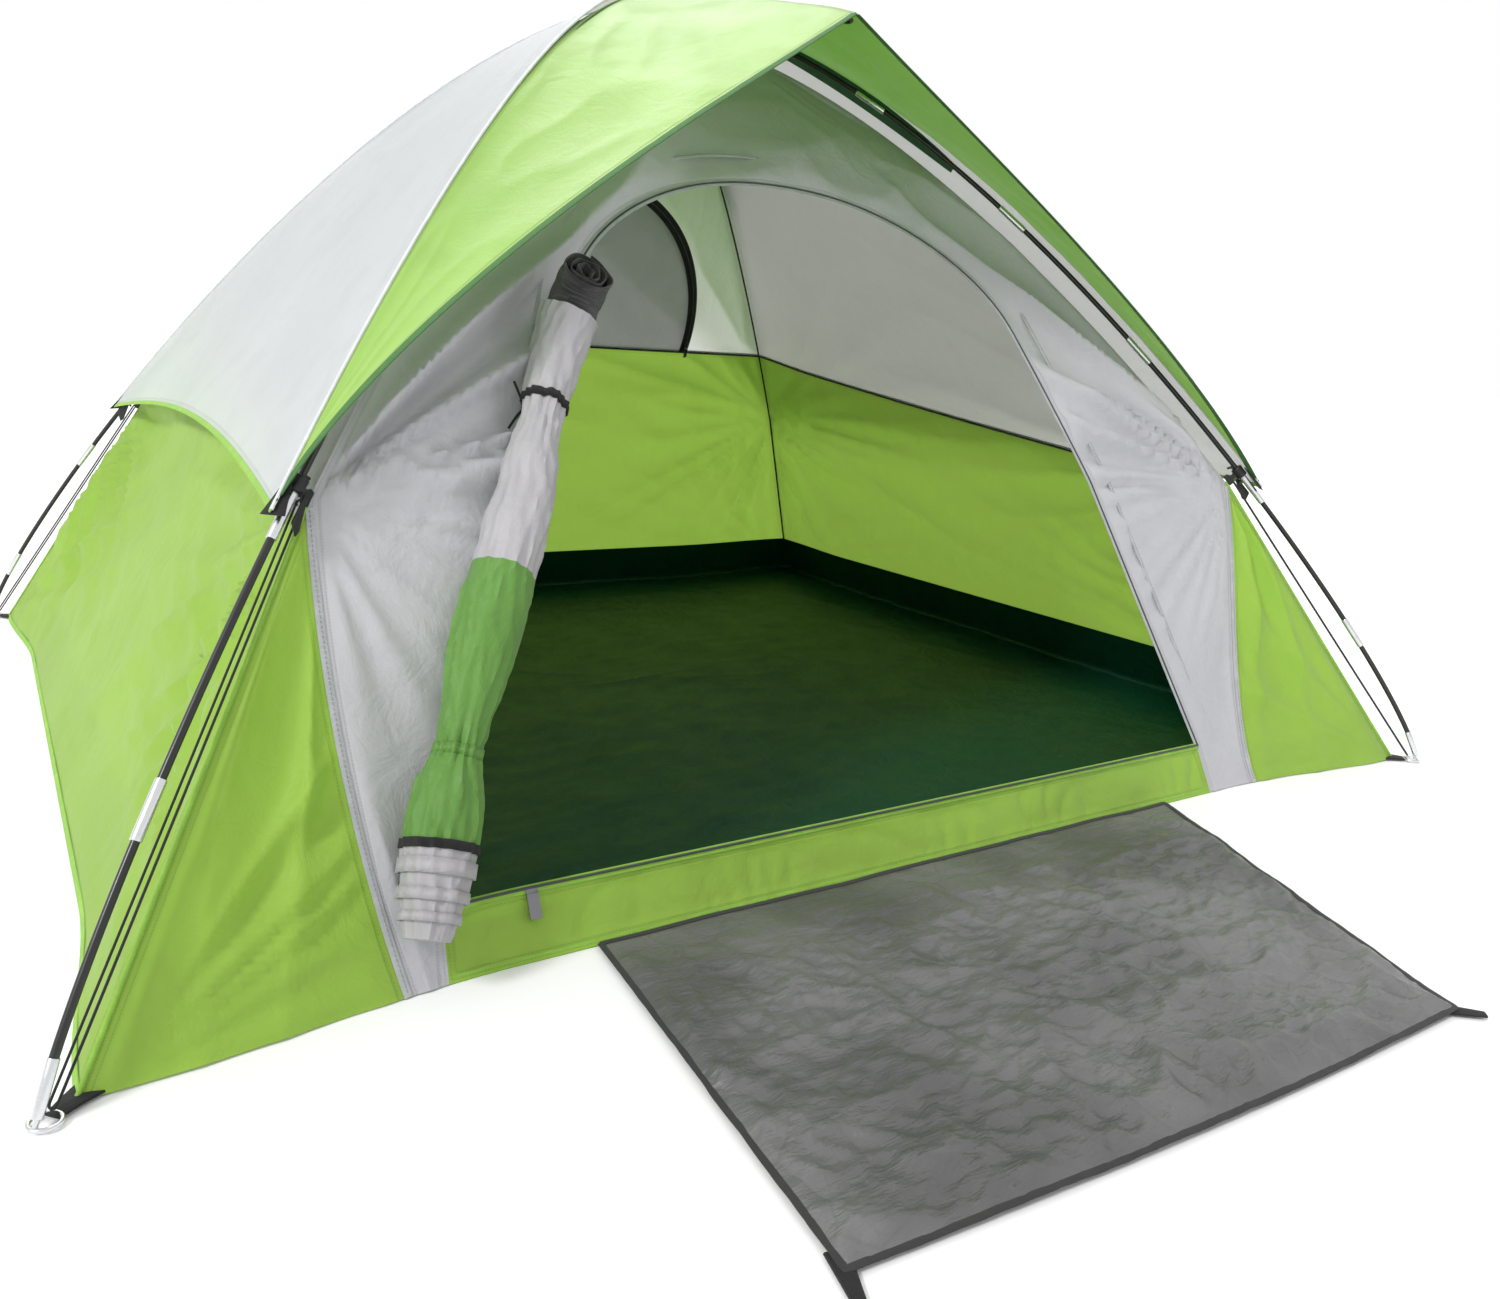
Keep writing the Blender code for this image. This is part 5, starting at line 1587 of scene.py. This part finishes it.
def make_fly_hook(corner):
    """Strap end and hook that hold the fly's corner to the pole clip."""
    outward = across_vector(corner)
    middle = FLY_CORNER + 0.012
    slope = float(LOWER.slope(middle))
    along = np.array((-math.cos(slope), math.sin(slope)))
    inward = np.array((-math.sin(slope), -math.cos(slope)))
    centre = LOWER.at(np.array(middle))
    shape = [(0.004, -0.012), (0.018, -0.020), (0.020, -0.012), (0.010, 0.022), (0.004, 0.024)]
    outline = [flat_point(corner, centre + inward * a + along * b, 0.0100) for a, b in shape]
    hook = bevelled_block(f"fly_hook_plate_{corner}", outline, outward * 0.002, plastic, "rainfly", 0.0006)
    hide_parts(f"fly_hook_{corner}")
    s = np.linspace(FLY_CORNER + 0.045, FLY_CORNER - 0.004, 14)
    path = at_corner(corner, fly_edge(s, 0.002))
    normal = unit(at_corner(corner, fly_edge(s, -0.01)) - path)
    widths = np.linspace(0.006, 0.030, 14)
    ribbon(f"fly_corner_patch_{corner}", path, normal, widths, 0.0012, black_tape, "rainfly", -0.0022)


def dress_cad_nodes():
    """Finishes for the CAD nodes that show as they are."""
    finishes = {
        "corner_elastic": elastic,
        "pole_a_shock_cord": elastic,
        "pole_b_shock_cord": elastic,
        "door_zip_slider": zip_steel,
        "window_zip_slider": zip_steel,
    }
    for name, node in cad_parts.items():
        for start, finish in finishes.items():
            if name.startswith(start):
                node.data.materials.clear()
                node.data.materials.append(finish)


# ---------------------------------------------------------------- mat


def make_mat():
    """The mat in front of the door: a crinkled sheet, its binding and its two peg loops."""
    corners = np.array([(*c, 0.0) for c in MAT_CORNERS])
    u = np.linspace(0, 1, 191)[:, None]
    v = np.linspace(0, 1, 131)[None, :]
    rear = corners[0] + (corners[1] - corners[0]) * u[..., None]
    front = corners[3] + (corners[2] - corners[3]) * u[..., None]
    bow = 0.010 * np.sin(math.pi * u) * v
    points = mix(rear, front, v[..., None])
    points[..., 1] -= bow
    a, b = points[..., 0], points[..., 1]
    warp = noise(a * 4, b * 4, 101) * 0.4
    lift = 0.0080 * ridges(a * 5.5 + warp * 1.4, b * 9.0 + warp, 102, 3.5)
    lift = lift + 0.0060 * ridges(a * 13 + warp * 2, b * 6.0 - warp * 1.5, 103, 3.0)
    lift = lift + 0.0055 * ridges(a * 27, b * 31 + warp * 2, 104, 2.0)
    edge = np.minimum(np.minimum(u, 1 - u) * 0.95, np.minimum(v, 1 - v) * 0.56)
    flutter = 0.004 * (0.5 + 0.5 * noise(a * 9, b * 9, 106))
    lift = lift * (0.10 + 0.90 * smooth(v / 0.30))
    creases = np.maximum(lift, 0) * smooth(edge / 0.03 + 0.25)
    points[..., 2] = 0.0018 + creases + flutter * (1 - smooth(edge / 0.05))
    mat = cloth_panel("mat_cloth", points, (a, b), tarp_grey, "mat", out_from=(0, -1.2, -2))
    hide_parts("ground_mat")
    rim = np.concatenate([points[:, 0], points[-1, 1:], points[::-1, -1][1:], points[0, ::-1][1:]])
    normals = np.broadcast_to(UP, rim.shape)
    ribbon("mat_hem", rim, normals, 0.008, 0.0008, mat_binding, "mat", 0.0006)
    reach, widths = np.linspace(-0.020, 0.032, 12), np.linspace(0.022, 0.012, 12)
    loops = (("left", corners[3], (-0.30, -0.95, 0)), ("right", corners[2], (0.72, -0.69, 0)))
    for word, corner, toward in loops:
        path = corner + unit(np.array(toward)) * reach[:, None] + UP * 0.0032
        ribbon(f"mat_loop_{word}", path, np.broadcast_to(UP, path.shape), widths, 0.002, black_tape, "mat")


# ---------------------------------------------------------------- studio


SKY_LIGHT = 0.92
LAMPS = (
    ("key", (-3.6, -0.9, 3.4), 12, 1.75),
    ("back", (0.8, 3.2, 3.0), 25, 0.80),
)


def make_studio():
    """A pale floor, a white sky and two suns."""
    bpy.ops.object.select_all(action="DESELECT")
    bpy.ops.mesh.primitive_plane_add(size=900, location=(0, 0, -0.0008))
    ground = bpy.context.active_object
    ground.name = "studio_ground"
    paint = Paint("studio_ground", (0.93, 0.93, 0.93))
    paint.set(Base_Color=(0.93, 0.93, 0.93), Roughness=0.9, Specular_IOR_Level=0.1)
    ground.data.materials.append(paint.material)
    world = bpy.data.worlds.new("studio")
    world.use_nodes = True
    nodes, links = world.node_tree.nodes, world.node_tree.links
    sky = nodes["Background"]
    sky.inputs["Color"].default_value = (1.0, 1.0, 1.0, 1)
    seen = nodes.new("ShaderNodeLightPath")
    level = nodes.new("ShaderNodeMath")
    level.operation = "MULTIPLY_ADD"
    links.new(seen.outputs["Is Camera Ray"], level.inputs[0])
    level.inputs[1].default_value = 1.0 - SKY_LIGHT
    level.inputs[2].default_value = SKY_LIGHT
    links.new(level.outputs[0], sky.inputs["Strength"])
    bpy.context.scene.world = world
    for name, place, softness, power in LAMPS:
        data = bpy.data.lights.new(name, "SUN")
        data.energy = power
        data.angle = math.radians(softness)
        lamp = bpy.data.objects.new(name, data)
        bpy.context.scene.collection.objects.link(lamp)
        lamp.location = place
        lamp.rotation_euler = (-Vector(place)).to_track_quat("-Z", "Y").to_euler()
    bpy.context.scene.view_settings.view_transform = "Standard"


def main():
    make_tub()
    make_front()
    make_back()
    make_plain_wall("left", 1)
    make_plain_wall("right", 6)
    make_seams()
    make_roll()
    make_fly_side("left", 111)
    make_fly_side("right", 121)
    make_awning("front", -1, 131)
    make_awning("rear", 1, 141)
    make_fly_seams()
    make_painted_shade_bands()
    make_poles()
    for corner in CORNERS:
        arch = LOWER if corner in POLES["a"] else UPPER
        make_clip(corner, arch)
        make_anchor(corner, arch)
        make_fly_hook(corner)
    make_mat()
    dress_cad_nodes()
    make_studio()


main()
